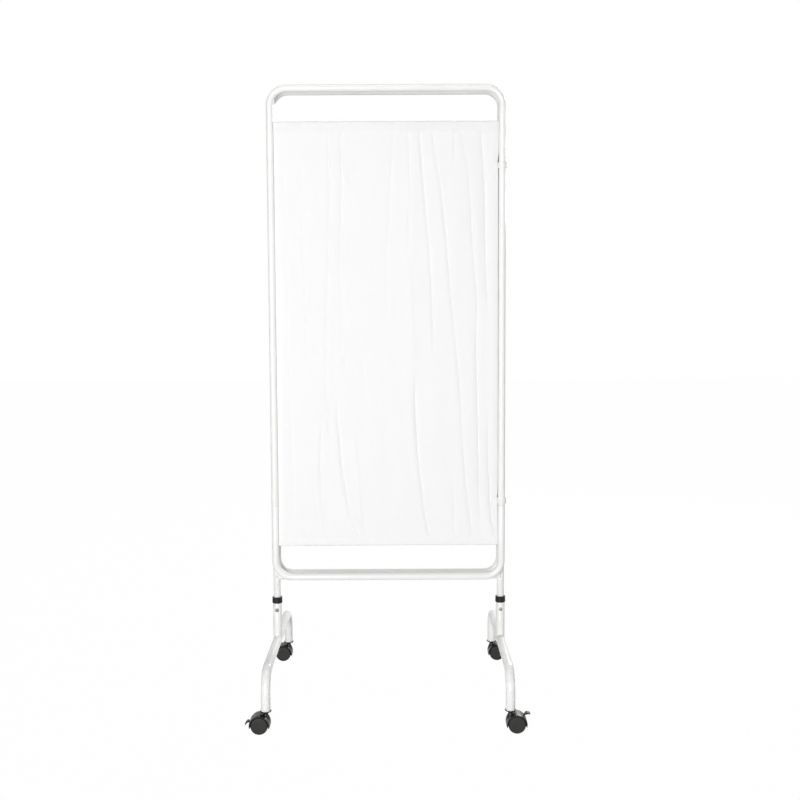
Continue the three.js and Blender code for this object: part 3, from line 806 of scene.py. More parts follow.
@dataclass
class TubeFrame:
    """One frame of tube with its two rods and its curtain."""

    name: str
    body: str
    depth: float
    bottom: float
    tube: TubeSizes = TubeSizes()
    half_width: float = 320.0
    height: float = 1362.0
    hoop_depth: float = 204.0
    seam_gap: float = 0.3
    neck: float = 32.0
    neck_radius: float = 8.2
    rod_radius: float = 4.0
    rod_rim: float = 0.8
    rod_inset: float = 95.0
    rod_half: float = 316.0

    @property
    def top(self) -> float:
        """Height of the top bar's centre line."""
        return self.bottom + self.height

    @property
    def rods(self) -> tuple[float, float]:
        """Heights of the lower and the upper rod."""
        return self.bottom + self.rod_inset, self.top - self.rod_inset

    def dressed(self, piece: Piece, part: str) -> None:
        """Dresses a tube or rod that stands for the CAD node of the same name."""
        dress(piece, Looks.ENAMEL, self.body, f"{self.name}_{part}")

    def hoop(self, part: str, upwards: bool) -> None:
        """Builds the top or the bottom hoop.

        Args:
            part: The CAD node's name after the frame's.
            upwards: Whether it is the top hoop.
        """
        seam = self.height / 2 - self.hoop_depth + self.seam_gap / 2
        piece = arch_tube(f"{self.name}_{part}.enamel", self.tube, self.half_width,
                          self.height / 2, seam)
        middle = self.bottom + self.height / 2
        turn = Matrix.Identity(4) if upwards else Matrix.Rotation(math.pi, 4, "Y")
        piece.data.transform(at(0, self.depth, middle) @ turn)
        self.dressed(piece, part)

    def upright(self, part: str, x: float, low: float | None = None) -> None:
        """Builds a side tube, reduced where it runs into a hoop.

        Args:
            part: The CAD node's name after the frame's.
            x: Where it stands.
            low: Height of a plain lower end; without it the tube has a neck there too.
        """
        radius, rim, gap = self.tube.radius, self.tube.rim, self.seam_gap / 2
        high = self.top - self.hoop_depth - gap
        profile = [(self.neck_radius, high + self.neck), (self.neck_radius, high),
                   (radius - rim, high), (radius, high - rim)]
        if low is None:
            end = self.bottom + self.hoop_depth + gap
            profile += [(radius, end + rim), (radius - rim, end), (self.neck_radius, end),
                        (self.neck_radius, end - self.neck)]
        else:
            profile += [(radius, low + rim), (radius - rim, low)]
        piece = Draft.turned(f"{self.name}_{part}.enamel", profile, self.tube.sides).done()
        piece.data.transform(at(x, self.depth))
        self.dressed(piece, part)

    def rod(self, part: str, level: float) -> None:
        """Builds a curtain rod with rounded ends.

        Args:
            part: The CAD node's name after the frame's.
            level: The rod's height.
        """
        radius, half, rim = self.rod_radius, self.rod_half, self.rod_rim
        profile = [(radius - rim, -half), (radius, rim - half), (radius, half - rim),
                   (radius - rim, half)]
        piece = Draft.turned(f"{self.name}_{part}.enamel", profile, Sides.PIN).done()
        piece.data.transform(at(0, self.depth, level) @ TO_SIDE)
        self.dressed(piece, part)

    def build_rods(self) -> None:
        """Builds both rods."""
        for part, level in zip(("lower_rod", "upper_rod"), self.rods):
            self.rod(part, level)


@dataclass
class WingFrame(TubeFrame):
    """A wing: two hoops joined by two side tubes."""

    def build(self) -> None:
        """Builds the wing's metal."""
        self.hoop("top_hoop", True)
        self.hoop("bottom_hoop", False)
        self.upright("left_tube", -self.half_width)
        self.upright("right_tube", self.half_width)
        self.build_rods()


@dataclass
class CentreFrame(TubeFrame):
    """The centre frame: a hoop on two long posts, with a welded rail."""

    post_end: float = 180.0
    weld: float = 1.6
    weld_depth: float = 0.5

    def build(self) -> None:
        """Builds the centre frame's metal."""
        self.hoop("top_hoop", True)
        self.upright("left_post", -self.half_width, self.post_end)
        self.upright("right_post", self.half_width, self.post_end)
        self.rail()
        self.build_rods()

    def rail(self) -> None:
        """Builds the lower rail, whose ends fit round the posts and flare into their welds."""
        radius, half, weld = self.tube.radius, self.half_width, self.weld
        profile = [(radius + weld, 0.0), (radius + weld / 3, weld / 2), (radius, 2 * weld),
                   (radius, 2 * half - 2 * weld), (radius + weld / 3, 2 * half - weld / 2),
                   (radius + weld, 2 * half)]
        draft = Draft.turned(f"{self.name}_lower_rail.enamel", profile, self.tube.sides)

        def saddle(p: Vector) -> Vector:
            """Lays the rail along X and pulls its ends round the posts.

            Args:
                p: A corner of the bar along Z.

            Returns:
                Its place in the rail.
            """
            along = p.z - half
            inset = math.sqrt(max(radius**2 - min(abs(p.y), radius) ** 2, 0.0))
            reach = half - inset + self.weld_depth
            return Vector((math.copysign(1, along) * (reach - (half - abs(along))), p.y, p.x))

        draft.each_vertex(saddle)
        piece = draft.done()
        piece.data.transform(at(0, self.depth, self.bottom))
        self.dressed(piece, "lower_rail")


# Curtains


@dataclass(frozen=True)
class Fold:
    """A crease that runs down the cloth.

    line holds points of the crease as place across and height in millimetres. The cloth lies
    deepest on the line and comes back over the left and right reach. The fold fades out towards
    its ends, unless they come near a rod.
    """

    line: Line
    depth: float
    left: float
    right: float
    crease: float = 2.4
    crease_share: float = 0.3
    fade: float = 70.0
    overrun: float = 25.0
    near_rod: float = 45.0

    def relief(self, x: np.ndarray, z: np.ndarray, rods: tuple[float, float]) -> np.ndarray:
        """How far the fold presses the cloth back at each place.

        Args:
            x: Places across.
            z: Heights.
            rods: Heights of the lower and the upper rod.

        Returns:
            Depths, 0 away from the fold.
        """
        places, heights = np.array(self.line)[::-1].T
        low, high = heights[0], heights[-1]
        end = ramp(z - low, self.fade) if low > rods[0] + self.near_rod else 1.0
        start = ramp(high - z, self.fade) if high < rods[1] - self.near_rod else 1.0
        inside = (z > low - self.overrun) & (z < high + self.overrun)
        shown = eased(np.where(inside, 1.0, 0.0) * end * start)
        away = x - np.interp(z, heights, places)
        share = np.where(away < 0, -away / self.left, away / self.right)
        tight = np.exp(-((away / self.crease) ** 2))
        wide = 1 - np.tanh(share)
        return self.depth * shown * (self.crease_share * tight + (1 - self.crease_share) * wide)


@dataclass(frozen=True)
class Ripple:
    """Waves of several lengths that slant across the cloth, and how deep they are in it."""

    lengths: tuple[float, ...]
    slant: float
    depth: float = 1.0
    wander: float = 0.35
    drift: tuple[float, float] = (180, 420)

    def over(self, x: np.ndarray, z: np.ndarray, draw: np.random.Generator) -> np.ndarray:
        """Draws the waves and gives their mean, from -1 to 1.

        Args:
            x: Places across the waves.
            z: Places along them.
            draw: The cloth's own random numbers.

        Returns:
            The mean at each place.
        """
        total = np.zeros_like(x)
        for length in self.lengths:
            lean = draw.uniform(-self.slant, self.slant)
            drift = draw.uniform(*self.drift)
            phase = draw.uniform(0, math.tau)
            wander = self.wander * length * np.sin(z / drift + phase)
            total += np.sin(math.tau * (x + lean * z + wander) / length + phase)
        return total / len(self.lengths)


FRONT_FOLDS = (
    Fold(((-237, 1535), (-232, 1322), (-226, 1130), (-214, 954)), 2.2, 26, 5),
    Fold(((-160, 1612), (-155, 1445), (-158, 1294), (-166, 1074), (-172, 954), (-168, 854),
          (-160, 653)), 3.4, 14, 5),
    Fold(((-124, 1612), (-121, 1445), (-127, 1254), (-127, 1044), (-122, 894)), 4.2, 16, 6),
    Fold(((-110, 1555), (-96, 1435), (-84, 1354)), 1.8, 14, 6),
    Fold(((-56, 1612), (-49, 1555), (-30, 1465)), 2.2, 16, 6),
    Fold(((20, 1612), (14, 1495), (6, 1375), (-2, 1244), (0, 1054)), 2.0, 22, 10),
    Fold(((60, 1612), (64, 1455), (60, 1344), (62, 1194)), 2.4, 12, 5),
    Fold(((88, 1612), (98, 1485), (108, 1363), (118, 1252), (124, 1124), (128, 974)), 3.6, 5, 15),
    Fold(((121, 1612), (149, 1431), (164, 1293), (174, 1156), (189, 1003), (200, 891), (208, 736),
          (218, 593), (234, 468)), 3.0, 6, 16),
    Fold(((187, 1612), (186, 1560), (184, 1480)), 3.0, 8, 5),
    Fold(((200, 1612), (224, 1488), (230, 1390), (237, 1261)), 2.2, 10, 9),
    Fold(((232, 1400), (237, 1261), (244, 1196), (249, 1131), (249, 1068), (247, 985)), 6.6, 26, 7),
    Fold(((213, 958), (222, 980), (236, 1012), (248, 1045)), 2.4, 9, 9),
    Fold(((256, 1612), (264, 1520), (270, 1435), (271, 1284), (274, 1184), (278, 1104)),
         6.6, 17, 8),
    Fold(((246, 1060), (247, 985), (250, 868), (252, 771), (254, 673), (256, 575), (258, 500)),
         7.0, 14, 6),
    Fold(((-142, 851), (-136, 754), (-127, 653), (-112, 553), (-84, 463)), 4.6, 6, 18),
    Fold(((-100, 794), (-88, 683), (-80, 593), (-76, 473)), -3.2, 12, 8),
    Fold(((-76, 1018), (-66, 894), (-48, 774), (-34, 683)), 1.8, 18, 10),
    Fold(((76, 924), (78, 794), (84, 693), (96, 579), (112, 468)), 5.4, 8, 20),
    Fold(((65, 1284), (66, 1114), (72, 954)), -3.0, 10, 10),
    Fold(((-184, 794), (-189, 633), (-177, 468)), 3.0, 10, 10),
    Fold(((183, 643), (186, 468)), 2.2, 8, 6),
    Fold(((279, 800), (281, 650), (287, 543), (292, 495), (300, 449)), 6.0, 11, 6),
    Fold(((-280, 1495), (-276, 1294), (-274, 994), (-268, 713), (-262, 493)), 1.6, 24, 24),
    Fold(((-212, 693), (-206, 553), (-214, 468)), 1.6, 16, 16),
)


@dataclass(frozen=True)
class FoldDraw:
    """Folds for a curtain that nothing shows, spread evenly and hung a little askew.

    A pair of numbers is the range of a draw. from_top is how many of the folds start at the upper
    rod, and drop is how much of the height one runs down.
    """

    seed: int
    count: int
    scatter: float = 0.35
    drop: tuple[float, float] = (0.35, 1.0)
    from_top: float = 0.6
    points: int = 6
    slant: tuple[float, float] = (-0.02, 0.06)
    sway: tuple[float, float] = (2, 8)
    sway_length: float = 260.0
    reach: tuple[float, float] = (5, 22)
    depth: tuple[float, float] = (2.0, 5.6)

    def folds(self, half_width: float, rods: tuple[float, float]) -> tuple[Fold, ...]:
        """Draws the folds, the same ones in each run.

        Args:
            half_width: Half the cloth's hung width.
            rods: Heights of the lower and the upper rod.

        Returns:
            The folds, from left to right.
        """
        draw = np.random.default_rng(self.seed)
        low, high = rods
        folds = []
        for i in range(self.count):
            step = i + 0.5 + draw.uniform(-self.scatter, self.scatter)
            start = -half_width + step * 2 * half_width / self.count
            drop = draw.uniform(*self.drop) * (high - low)
            first = high if draw.random() < self.from_top else low + drop
            slant, sway = draw.uniform(*self.slant), draw.uniform(*self.sway)
            turn = draw.uniform(0, math.tau)
            line = []
            for z in np.linspace(first, first - drop, self.points):
                swayed = sway * math.sin(turn + z / self.sway_length)
                line.append((float(start + slant * (first - z) + swayed), float(z)))
            reaches = sorted(draw.uniform(*self.reach, 2), reverse=draw.random() < 0.5)
            folds.append(Fold(tuple(line), float(draw.uniform(*self.depth)), *map(float, reaches)))
        return tuple(folds)


@dataclass
class ClothSheet:
    """A curtain that is gathered on two rods, with a sewn pocket round each.

    Each reach is the length over which what it names grows from nothing to its full depth, away
    from a seam or a side edge.
    """

    UV_NAME = "flat cloth"

    frame: TubeFrame
    folds: Sequence[Fold]
    seed: int
    clip_levels: tuple[float, ...] = ()
    flat: tuple[float, float] = (0.7, 1.27)
    columns: int = 340
    thickness: float = 0.45
    half_width: float = 306.0
    # Half the width at a few heights, and of a pocket.
    left_edge: Line = ((400, 309.7), (1580, 309.7))
    right_edge: Line = ((400, 309.7), (1506, 308.9), (1512, 308.4), (1545, 309.7), (1580, 309.7))
    pocket_half: float = 309.8
    pocket: float = 21.0
    pocket_play: float = 0.7
    back_hem: float = 3.0
    layer: float = 0.65
    pinch: float = 1.4
    back_rows: int = 8
    front_rows: int = 10
    turn_rows: int = 13
    # First and last distance from a seam, and count, of the hung cloth's near and far rows.
    near: tuple[float, float, int] = (3, 90, 12)
    far: tuple[float, float, int] = (108, 540, 24)
    side_hem: float = 9.0
    hem_lift: float = 0.3
    edge_reach: float = 14.0
    # How the hung cloth falls.
    fold_gain: float = 1.2
    fold_at_seam: float = 0.6
    fold_reach: float = 40.0
    forward: float = 2.6
    forward_reach: float = 90.0
    swells: Ripple = Ripple((58.0, 83.0, 131.0), 0.04, 1.1)
    swell_reach: float = 120.0
    gathers: Ripple = Ripple((7.5, 10.5, 13.0, 17.0, 23.0), 0.25, 0.4)
    gather_fade: float = 38.0
    crumple: tuple[Ripple, Ripple] = (Ripple((29.0, 37.0), 0.5, 0.3), Ripple((63.0, 111.0), 0.6))
    deepest: float = 6.6
    # How the pockets ruffle, and how their seams hold them flat.
    ruffle: Ripple = Ripple((8.1, 12.7, 19.0), 0.18, 0.42)
    ruffle_range: tuple[float, float] = (-0.35, 1.3)
    ruffle_dip: float = 0.75
    dip_relief: float = 3.0
    seam_width: float = 2.2
    seam_flat: float = 0.8
    seam_sink: float = 0.12
    # How far the cloth shifts sideways at the gathers and draws in at the clips.
    shift: Ripple = Ripple((15.0, 21.0), 0.3, 0.5)
    clip_draw: float = 2.6
    clip_spread: float = 11.0
    clip_share: float = 0.1
    # The stitches.
    stitch_radius: float = 0.22
    stitch_length: float = 2.3
    stitch_pitch: float = 3.3
    stitch_inset: float = 4.0
    stitch_lift: float = 0.05

    @property
    def seams(self) -> tuple[float, float]:
        """Heights of the lower and the upper pocket's seam."""
        low, high = self.frame.rods
        return low + self.pocket, high - self.pocket

    @property
    def turn_radius(self) -> float:
        """Radius of the cloth's turn round a rod."""
        return self.frame.rod_radius + self.pocket_play

    def pocket_side(self, level: float, seam: float, way: float,
                    count: int) -> list[tuple[float, ...]]:
        """One face of a pocket, from beside the rod to the seam.

        Args:
            level: The rod's height.
            seam: The seam's height.
            way: 1 for the back and -1 for the front.
            count: How many rows there are.

        Returns:
            Rows as path gives them.
        """
        made = []
        for t in np.linspace(0, 1, count):
            swell = (self.turn_radius - self.layer) * math.cos(t * math.pi / 2) ** self.pinch
            made.append((way * (self.layer + swell), level + (seam - level) * t, way, 0.0, 1.0))
        return made

    def pocket_turn(self, level: float, start: float) -> list[tuple[float, ...]]:
        """The cloth's half turn round a rod, as rows from a starting angle in radians.

        Args:
            level: The rod's height.
            start: The first angle, in radians.

        Returns:
            Rows as path gives them.
        """
        angles = np.linspace(start, start + math.pi, self.turn_rows)
        turns = [(math.cos(angle), math.sin(angle)) for angle in angles]
        return [(self.turn_radius * y, level + self.turn_radius * z, y, z, 1.0) for y, z in turns]

    def path(self) -> np.ndarray:
        """The cloth's line from the upper pocket's back, over its rod, down and round the lower.

        Returns:
            Rows of depth, height, outward depth, outward height and pocket share.
        """
        low, high = self.frame.rods
        seam_low, seam_high = self.seams
        drop = np.concatenate([np.geomspace(*self.near), np.linspace(*self.far)])
        hung = np.concatenate([seam_high - drop, (seam_low + drop)[::-1]])
        return np.array([
            (self.layer, seam_high - self.back_hem, 1.0, 0.0, 1.0),
            *self.pocket_side(high, seam_high, 1.0, self.back_rows)[::-1],
            *self.pocket_turn(high, 0.0),
            *self.pocket_side(high, seam_high, -1.0, self.front_rows)[1:],
            *((-self.layer, z, -1.0, 0.0, 0.0) for z in hung),
            *self.pocket_side(low, seam_low, -1.0, self.front_rows)[::-1],
            *self.pocket_turn(low, math.pi),
            *self.pocket_side(low, seam_low, 1.0, self.back_rows)[1:],
            (self.layer, seam_low + self.back_hem, 1.0, 0.0, 1.0),
        ])

    def hang(self, x: np.ndarray, seam: np.ndarray, relief: np.ndarray, gathers: np.ndarray,
             ripples: tuple[np.ndarray, ...]) -> np.ndarray:
        """How far the hung cloth lies back from its plane.

        Args:
            x: Places across.
            seam: How far each place is from the nearer seam.
            relief: How far the folds press it back.
            gathers: How much of the seam's gathers is left there.
            ripples: The gathers', swells' and crumples' waves.

        Returns:
            Depths, kept from going past the deepest.
        """
        small, broad, crumple = ripples
        held = self.fold_at_seam + (1 - self.fold_at_seam) * ramp(seam, self.fold_reach)
        back = self.fold_gain * relief * held
        back -= self.forward * ramp(seam, self.forward_reach)
        back += (self.swells.depth * broad * ramp(seam, self.swell_reach)
                 + self.gathers.depth * gathers * small + self.crumple[0].depth * crumple)
        back *= ramp(self.half_width - np.abs(x), self.edge_reach)
        back -= self.hem_lift * (np.abs(x) > self.half_width - self.side_hem)
        return back / (1 + (np.abs(back) / self.deepest) ** 4) ** 0.25

    def corners(self) -> tuple[np.ndarray, np.ndarray]:
        """Every corner of the cloth and its place on the flat cut.

        Returns:
            Corners in millimetres and UV coordinates in metres, row after row.
        """
        draw = np.random.default_rng(self.seed)
        rows = self.path()
        share = np.linspace(-1, 1, self.columns)
        x0, z = np.meshgrid(share * self.half_width, rows[:, 1])
        y0, out_y, out_z, in_pocket = (rows[:, k:k + 1] for k in (0, 2, 3, 4))
        seam_low, seam_high = self.seams
        seam = np.minimum(np.abs(z - seam_high), np.abs(z - seam_low))
        pressed = np.exp(-((seam / self.seam_width) ** 2))
        relief = sum(fold.relief(x0, z, self.frame.rods) for fold in self.folds)
        gathers = np.exp(-seam / self.gather_fade)
        small = self.gathers.over(x0, z, draw)
        broad = self.swells.over(x0, z, draw)
        crumple = self.crumple[0].over(x0, z, draw) * self.crumple[1].over(z, x0, draw)
        back = self.hang(x0, seam, relief, gathers, (small, broad, crumple))
        ruffle = self.ruffle.depth + self.ruffle.depth * self.ruffle.over(x0, z, draw)
        ruffle -= self.ruffle_dip * ramp(relief, self.dip_relief)
        out = in_pocket * np.clip(ruffle, *self.ruffle_range) * (1 - self.seam_flat * pressed)
        out -= (1 - in_pocket) * back
        out -= self.seam_sink * (1 - in_pocket) * pressed
        y = y0 + out_y * out + self.frame.depth
        z = z + out_z * out
        edges = (self.left_edge, self.right_edge)
        left, right = (np.interp(z, *np.array(edge).T) for edge in edges)
        half = np.where(x0 < 0, left, right)
        half += (self.pocket_half - half) * in_pocket * (1 - pressed)
        x = x0 * half / self.half_width
        for level in self.clip_levels:
            edge = np.clip(share - (1 - self.clip_share), 0, None) / self.clip_share
            x -= self.clip_draw * np.exp(-(((z - level) / self.clip_spread) ** 4)) * edge
        x += self.shift.depth * gathers * self.shift.over(x0, z, draw) * (1 - share**8)
        width, length = self.flat
        down = walked(rows[:, :2])
        u, v = np.meshgrid((share + 1) / 2 * width, down / down[-1] * length)
        return np.stack([x, y, z], axis=-1).reshape(-1, 3), np.stack([u, v], axis=-1).reshape(-1, 2)

    def build(self) -> None:
        name = f"{self.frame.name}_curtain"
        points, flat = self.corners()
        rows = len(points) // self.columns
        draft = Draft(f"{name}.cloth", bpy.ops.mesh.primitive_grid_add, size=1,
                      x_subdivisions=self.columns - 1, y_subdivisions=rows - 1)
        bpy.ops.object.mode_set(mode="OBJECT")
        piece = draft.body
        mesh = piece.data
        order = grid_order(mesh, self.columns, rows)
        mesh.vertices.foreach_set("co", (points[order] * MM).ravel())
        layer = mesh.uv_layers[0]
        layer.name = self.UV_NAME
        loops = np.empty(len(mesh.loops), dtype=np.int32)
        mesh.loops.foreach_get("vertex_index", loops)
        layer.data.foreach_set("uv", flat[order][loops].ravel())
        mesh.update()
        only(piece)
        if mesh.polygons[len(mesh.polygons) // 2].normal.y > 0:
            mesh.flip_normals()
        modify(piece, "SOLIDIFY", thickness=self.thickness * MM, offset=0)
        bpy.ops.object.shade_smooth()
        dress(piece, Looks.CLOTH, self.frame.body, name)
        seams = self.stitches(points.reshape(rows, self.columns, 3))

    def stitches(self, grid: np.ndarray) -> Piece:
        """Sews a row of short stitches along each pocket's seam, on the cloth's front.

        Args:
            grid: The cloth's corners, by row and column.

        Returns:
            The stitches as one piece.
        """
        middle = grid[:, self.columns // 2]
        front = np.flatnonzero(middle[:, 1] < self.frame.depth)
        seam_low, seam_high = self.seams
        rows = [front[np.argmin(np.abs(middle[front, 2] - seam))] for seam in (seam_high, seam_low)]
        draft = Draft(f"{self.frame.name}_curtain_stitches", bpy.ops.mesh.primitive_cylinder_add,
                      turn=(0, 90, 0), vertices=6, radius=self.stitch_radius * MM,
                      depth=self.stitch_length * MM)
        bpy.ops.object.mode_set(mode="OBJECT")
        mesh = draft.body.data
        base = np.array([v.co for v in mesh.vertices], dtype=float)
        faces = [tuple(p.vertices) for p in mesh.polygons]
        lift = (0, -self.thickness / 2 - self.stitch_lift, 0)
        corners, polygons = [], []
        for line in grid[rows]:
            distance = walked(line)
            last = distance[-1] - self.stitch_inset
            for place in np.arange(self.stitch_inset, last, self.stitch_pitch):
                spot, ahead = (np.array([np.interp(s, distance, line[:, k]) for k in range(3)])
                               for s in (place, place + 1))
                angle = math.atan2(ahead[1] - spot[1], ahead[0] - spot[0])
                cos, sin = math.cos(angle), math.sin(angle)
                turned = np.stack([base[:, 0] * cos - base[:, 1] * sin,
                                   base[:, 0] * sin + base[:, 1] * cos, base[:, 2]], axis=-1)
                start = len(corners) * len(base)
                corners.append(turned + (spot + lift) * MM)
                polygons += [tuple(start + i for i in face) for face in faces]
        mesh.clear_geometry()
        mesh.from_pydata(np.concatenate(corners).tolist(), [], polygons)
        mesh.update()
        return dress(shade(draft.body, 50), Looks.CLIP, self.frame.body)


def grid_order(mesh: bpy.types.Mesh, columns: int, rows: int) -> np.ndarray:
    """Which of the cloth's corners each vertex of a fresh grid stands for.

    Args:
        mesh: The grid primitive, one metre wide.
        columns: Corners along X.
        rows: Corners along Y, the first one at the largest Y.

    Returns:
        An index into the corners for each vertex.
    """
    places = np.empty(len(mesh.vertices) * 3)
    mesh.vertices.foreach_get("co", places)
    places = places.reshape(-1, 3)
    across = np.rint((places[:, 0] + 0.5) * (columns - 1)).astype(int)
    down = np.rint((0.5 - places[:, 1]) * (rows - 1)).astype(int)
    return down * columns + across


# Hinge clips


@dataclass
class HingeClips:
    """Two clips that hold a wing's side tube to the centre frame's."""

    name: str
    body: str
    x: float
    turn: float
    levels: dict[str, float]
    pitch: float = 24.0
    bore: float = 10.3
    wall: float = 2.7
    height: float = 17.0
    waist: float = 14.0

    def build(self) -> None:
        """Models one clip and places it at both levels."""
        model = self.model()
        for end, level in self.levels.items():
            name = f"{self.name}_{end}_clip"
            piece = placed(model, f"{name}.plastic", at(self.x, 0, level, self.turn))
            dress(piece, Looks.CLIP, self.body, name)
        bpy.data.objects.remove(model)

    def model(self) -> Piece:
        """Joins two rings with a bridge, bores them and rounds their edges.

        Returns:
            The clip round the centre tube, to be placed.
        """
        outer, end = self.bore + self.wall, self.height / 2
        piece = Draft.box(f"{self.name}_clip_model", (self.waist, self.pitch, self.height),
                          (0, self.pitch / 2, 0)).done()
        for radius, half, operation in ((outer, end, "UNION"), (self.bore, 2 * end, "DIFFERENCE")):
            for y in (0.0, self.pitch):
                combined(piece, round_bar(radius, -half, half, Sides.TUBE, at(0, y)), operation)
        return rounded(piece, 0.7, segments=3, above=45)


# Feet


@dataclass
class Foot:
    """A bent foot tube with the sleeve, collar and screw that hold a post."""

    name: str
    x: float
    body: str = "centre_frame"
    tube: TubeSizes = TubeSizes(12.5, 1.5, bend=56.0, bend_steps=18, rim=0.4)
    reach: float = 300.0
    level: float = 157.5
    end: float = 58.0
    sleeve_radius: float = 12.5
    sleeve_bore: float = 10.5
    sleeve_top: float = 279.0
    weld: float = 1.5
    weld_top: float = 2.4
    saddle_top: float = 30.0
    collar_top: float = 282.3
    collar_height: float = 18.0
    collar_radius: float = 14.1
    collar_bore: float = 10.3
    collar_grooves: int = 24
    groove_share: float = 0.34
    groove_inset: float = 0.12
    groove_depth: float = 0.35
    screw_level: float = 245.5
    screw_head: float = 5.2
    screw_shank: float = 2.5
    recess: Point = (5.8, 1.2, 3.2)

    def build(self) -> None:
        """Builds the foot's four pieces."""
        node = f"{self.name}_foot_tube"
        tube = arch_tube(f"{node}.enamel", self.tube, self.reach, self.level, self.end)
        tube.data.transform(at(self.x, turn=90))
        dress(tube, Looks.ENAMEL, self.body, node)
        for part, piece, finish in (("sleeve", self.sleeve(), Looks.ENAMEL),
                                    ("collar", self.collar(), Looks.BLACK),
                                    ("screw", self.screw(), Looks.ZINC)):
            piece.data.transform(at(self.x))
            dress(piece, finish, self.body, f"{self.name}_{part}")

    def sleeve(self) -> Piece:
        """Builds the sleeve, whose foot is cut to the foot tube and flares into its weld.

        Returns:
            The sleeve on X = 0.
        """
        outer, bore, weld, foot = self.sleeve_radius, self.sleeve_bore, self.weld, self.tube.radius
        rise = self.sleeve_top - self.level
        profile = [(outer + weld, -0.5), (outer + weld * 0.75, 0.5), (outer + weld * 0.3, 1.2),
                   (outer, self.weld_top), (outer, self.saddle_top), (outer, rise - 0.4),
                   (outer - 0.4, rise), (bore, rise), (bore, self.saddle_top + 1)]
        draft = Draft.turned(f"{self.name}_sleeve.enamel", profile, Sides.SLEEVE, (False, True))

        def saddle(p: Vector) -> Vector:
            """Lifts the lower rings on to the foot tube's round.

            Args:
                p: A corner of the straight sleeve.

            Returns:
                Its place on the foot tube.
            """
            above = max(p.z - self.weld_top, 0.0)
            fade = max(0.0, 1 - above / (self.saddle_top - self.weld_top))
            round_height = math.sqrt(max(foot**2 - min(abs(p.x), foot) ** 2, 0.0))
            return Vector((p.x, p.y, self.level + p.z + fade * round_height))

        draft.each_vertex(saddle)
        return draft.done(50)

    def collar(self) -> Piece:
        """Builds the black collar: a ring with a rounded lower edge and fine grip grooves.

        Returns:
            The collar on X = 0.
        """
        top, radius, bore = self.collar_top, self.collar_radius, self.collar_bore
        low, skirt = top - self.collar_height, self.sleeve_radius + 0.3
        profile = [(skirt, low + 0.6), (radius - 1.1, low), (radius - 0.3, low + 0.5),
                   (radius + 0.2, low + 1.4), (radius + 0.35, low + 2.6), (radius + 0.3, low + 4.4),
                   (radius, top - 2.4), (radius, top - 0.6), (radius - 0.4, top),
                   (bore + 1.6, top), (bore + 0.9, top - 0.5), (bore, top - 1.6),
                   (bore, top - 3.0), (skirt, top - 3.0), (skirt, low + 0.6)]
        draft = Draft.turned(f"{self.name}_collar.plastic", profile, Sides.COLLAR, (False, False))
        draft.close(0.01)

        def in_groove(p: Vector) -> bool:
            """Whether a face of the collar's outside lies in one of the grooves.

            Args:
                p: The face's middle.

            Returns:
                Whether it does.
            """
            share = math.atan2(p.y, p.x) / math.tau * self.collar_grooves % 1
            outside = low + 2.7 < p.z < top - 2.5 and math.hypot(p.x, p.y) > radius - 0.4
            return outside and share < self.groove_share

        draft.pick(in_groove)
        bpy.ops.mesh.inset(thickness=self.groove_inset * MM, depth=-self.groove_depth * MM)
        return draft.done(30)

    def screw(self) -> Piece:
        """Builds the locking screw: a domed head with a cross recess, and its shank.

        Returns:
            The screw on X = 0.
        """
        seat, head, shank = self.sleeve_radius + 0.3, self.screw_head, self.screw_shank
        profile = [(shank, self.sleeve_bore - 4), (shank, seat), (head - 0.5, seat),
                   (head, seat + 0.4), (head - 0.1, seat + 1.0), (head - 0.7, seat + 1.8),
                   (head - 1.7, seat + 2.4), (head - 3.1, seat + 2.8), (0.6, seat + 3.0)]
        piece = Draft.turned(f"{self.name}_screw.zinc", profile, Sides.SCREW).done(40)
        for turn in (38, 128):
            bar = Draft.box("recess", self.recess, (0, 0, seat + 2.9)).done()
            bar.data.transform(at(turn=turn))
            combined(piece, bar, "DIFFERENCE")
        piece.data.transform(at(0, 0, self.screw_level) @ TO_FRONT)
        return shade(piece, 35)


# Castors


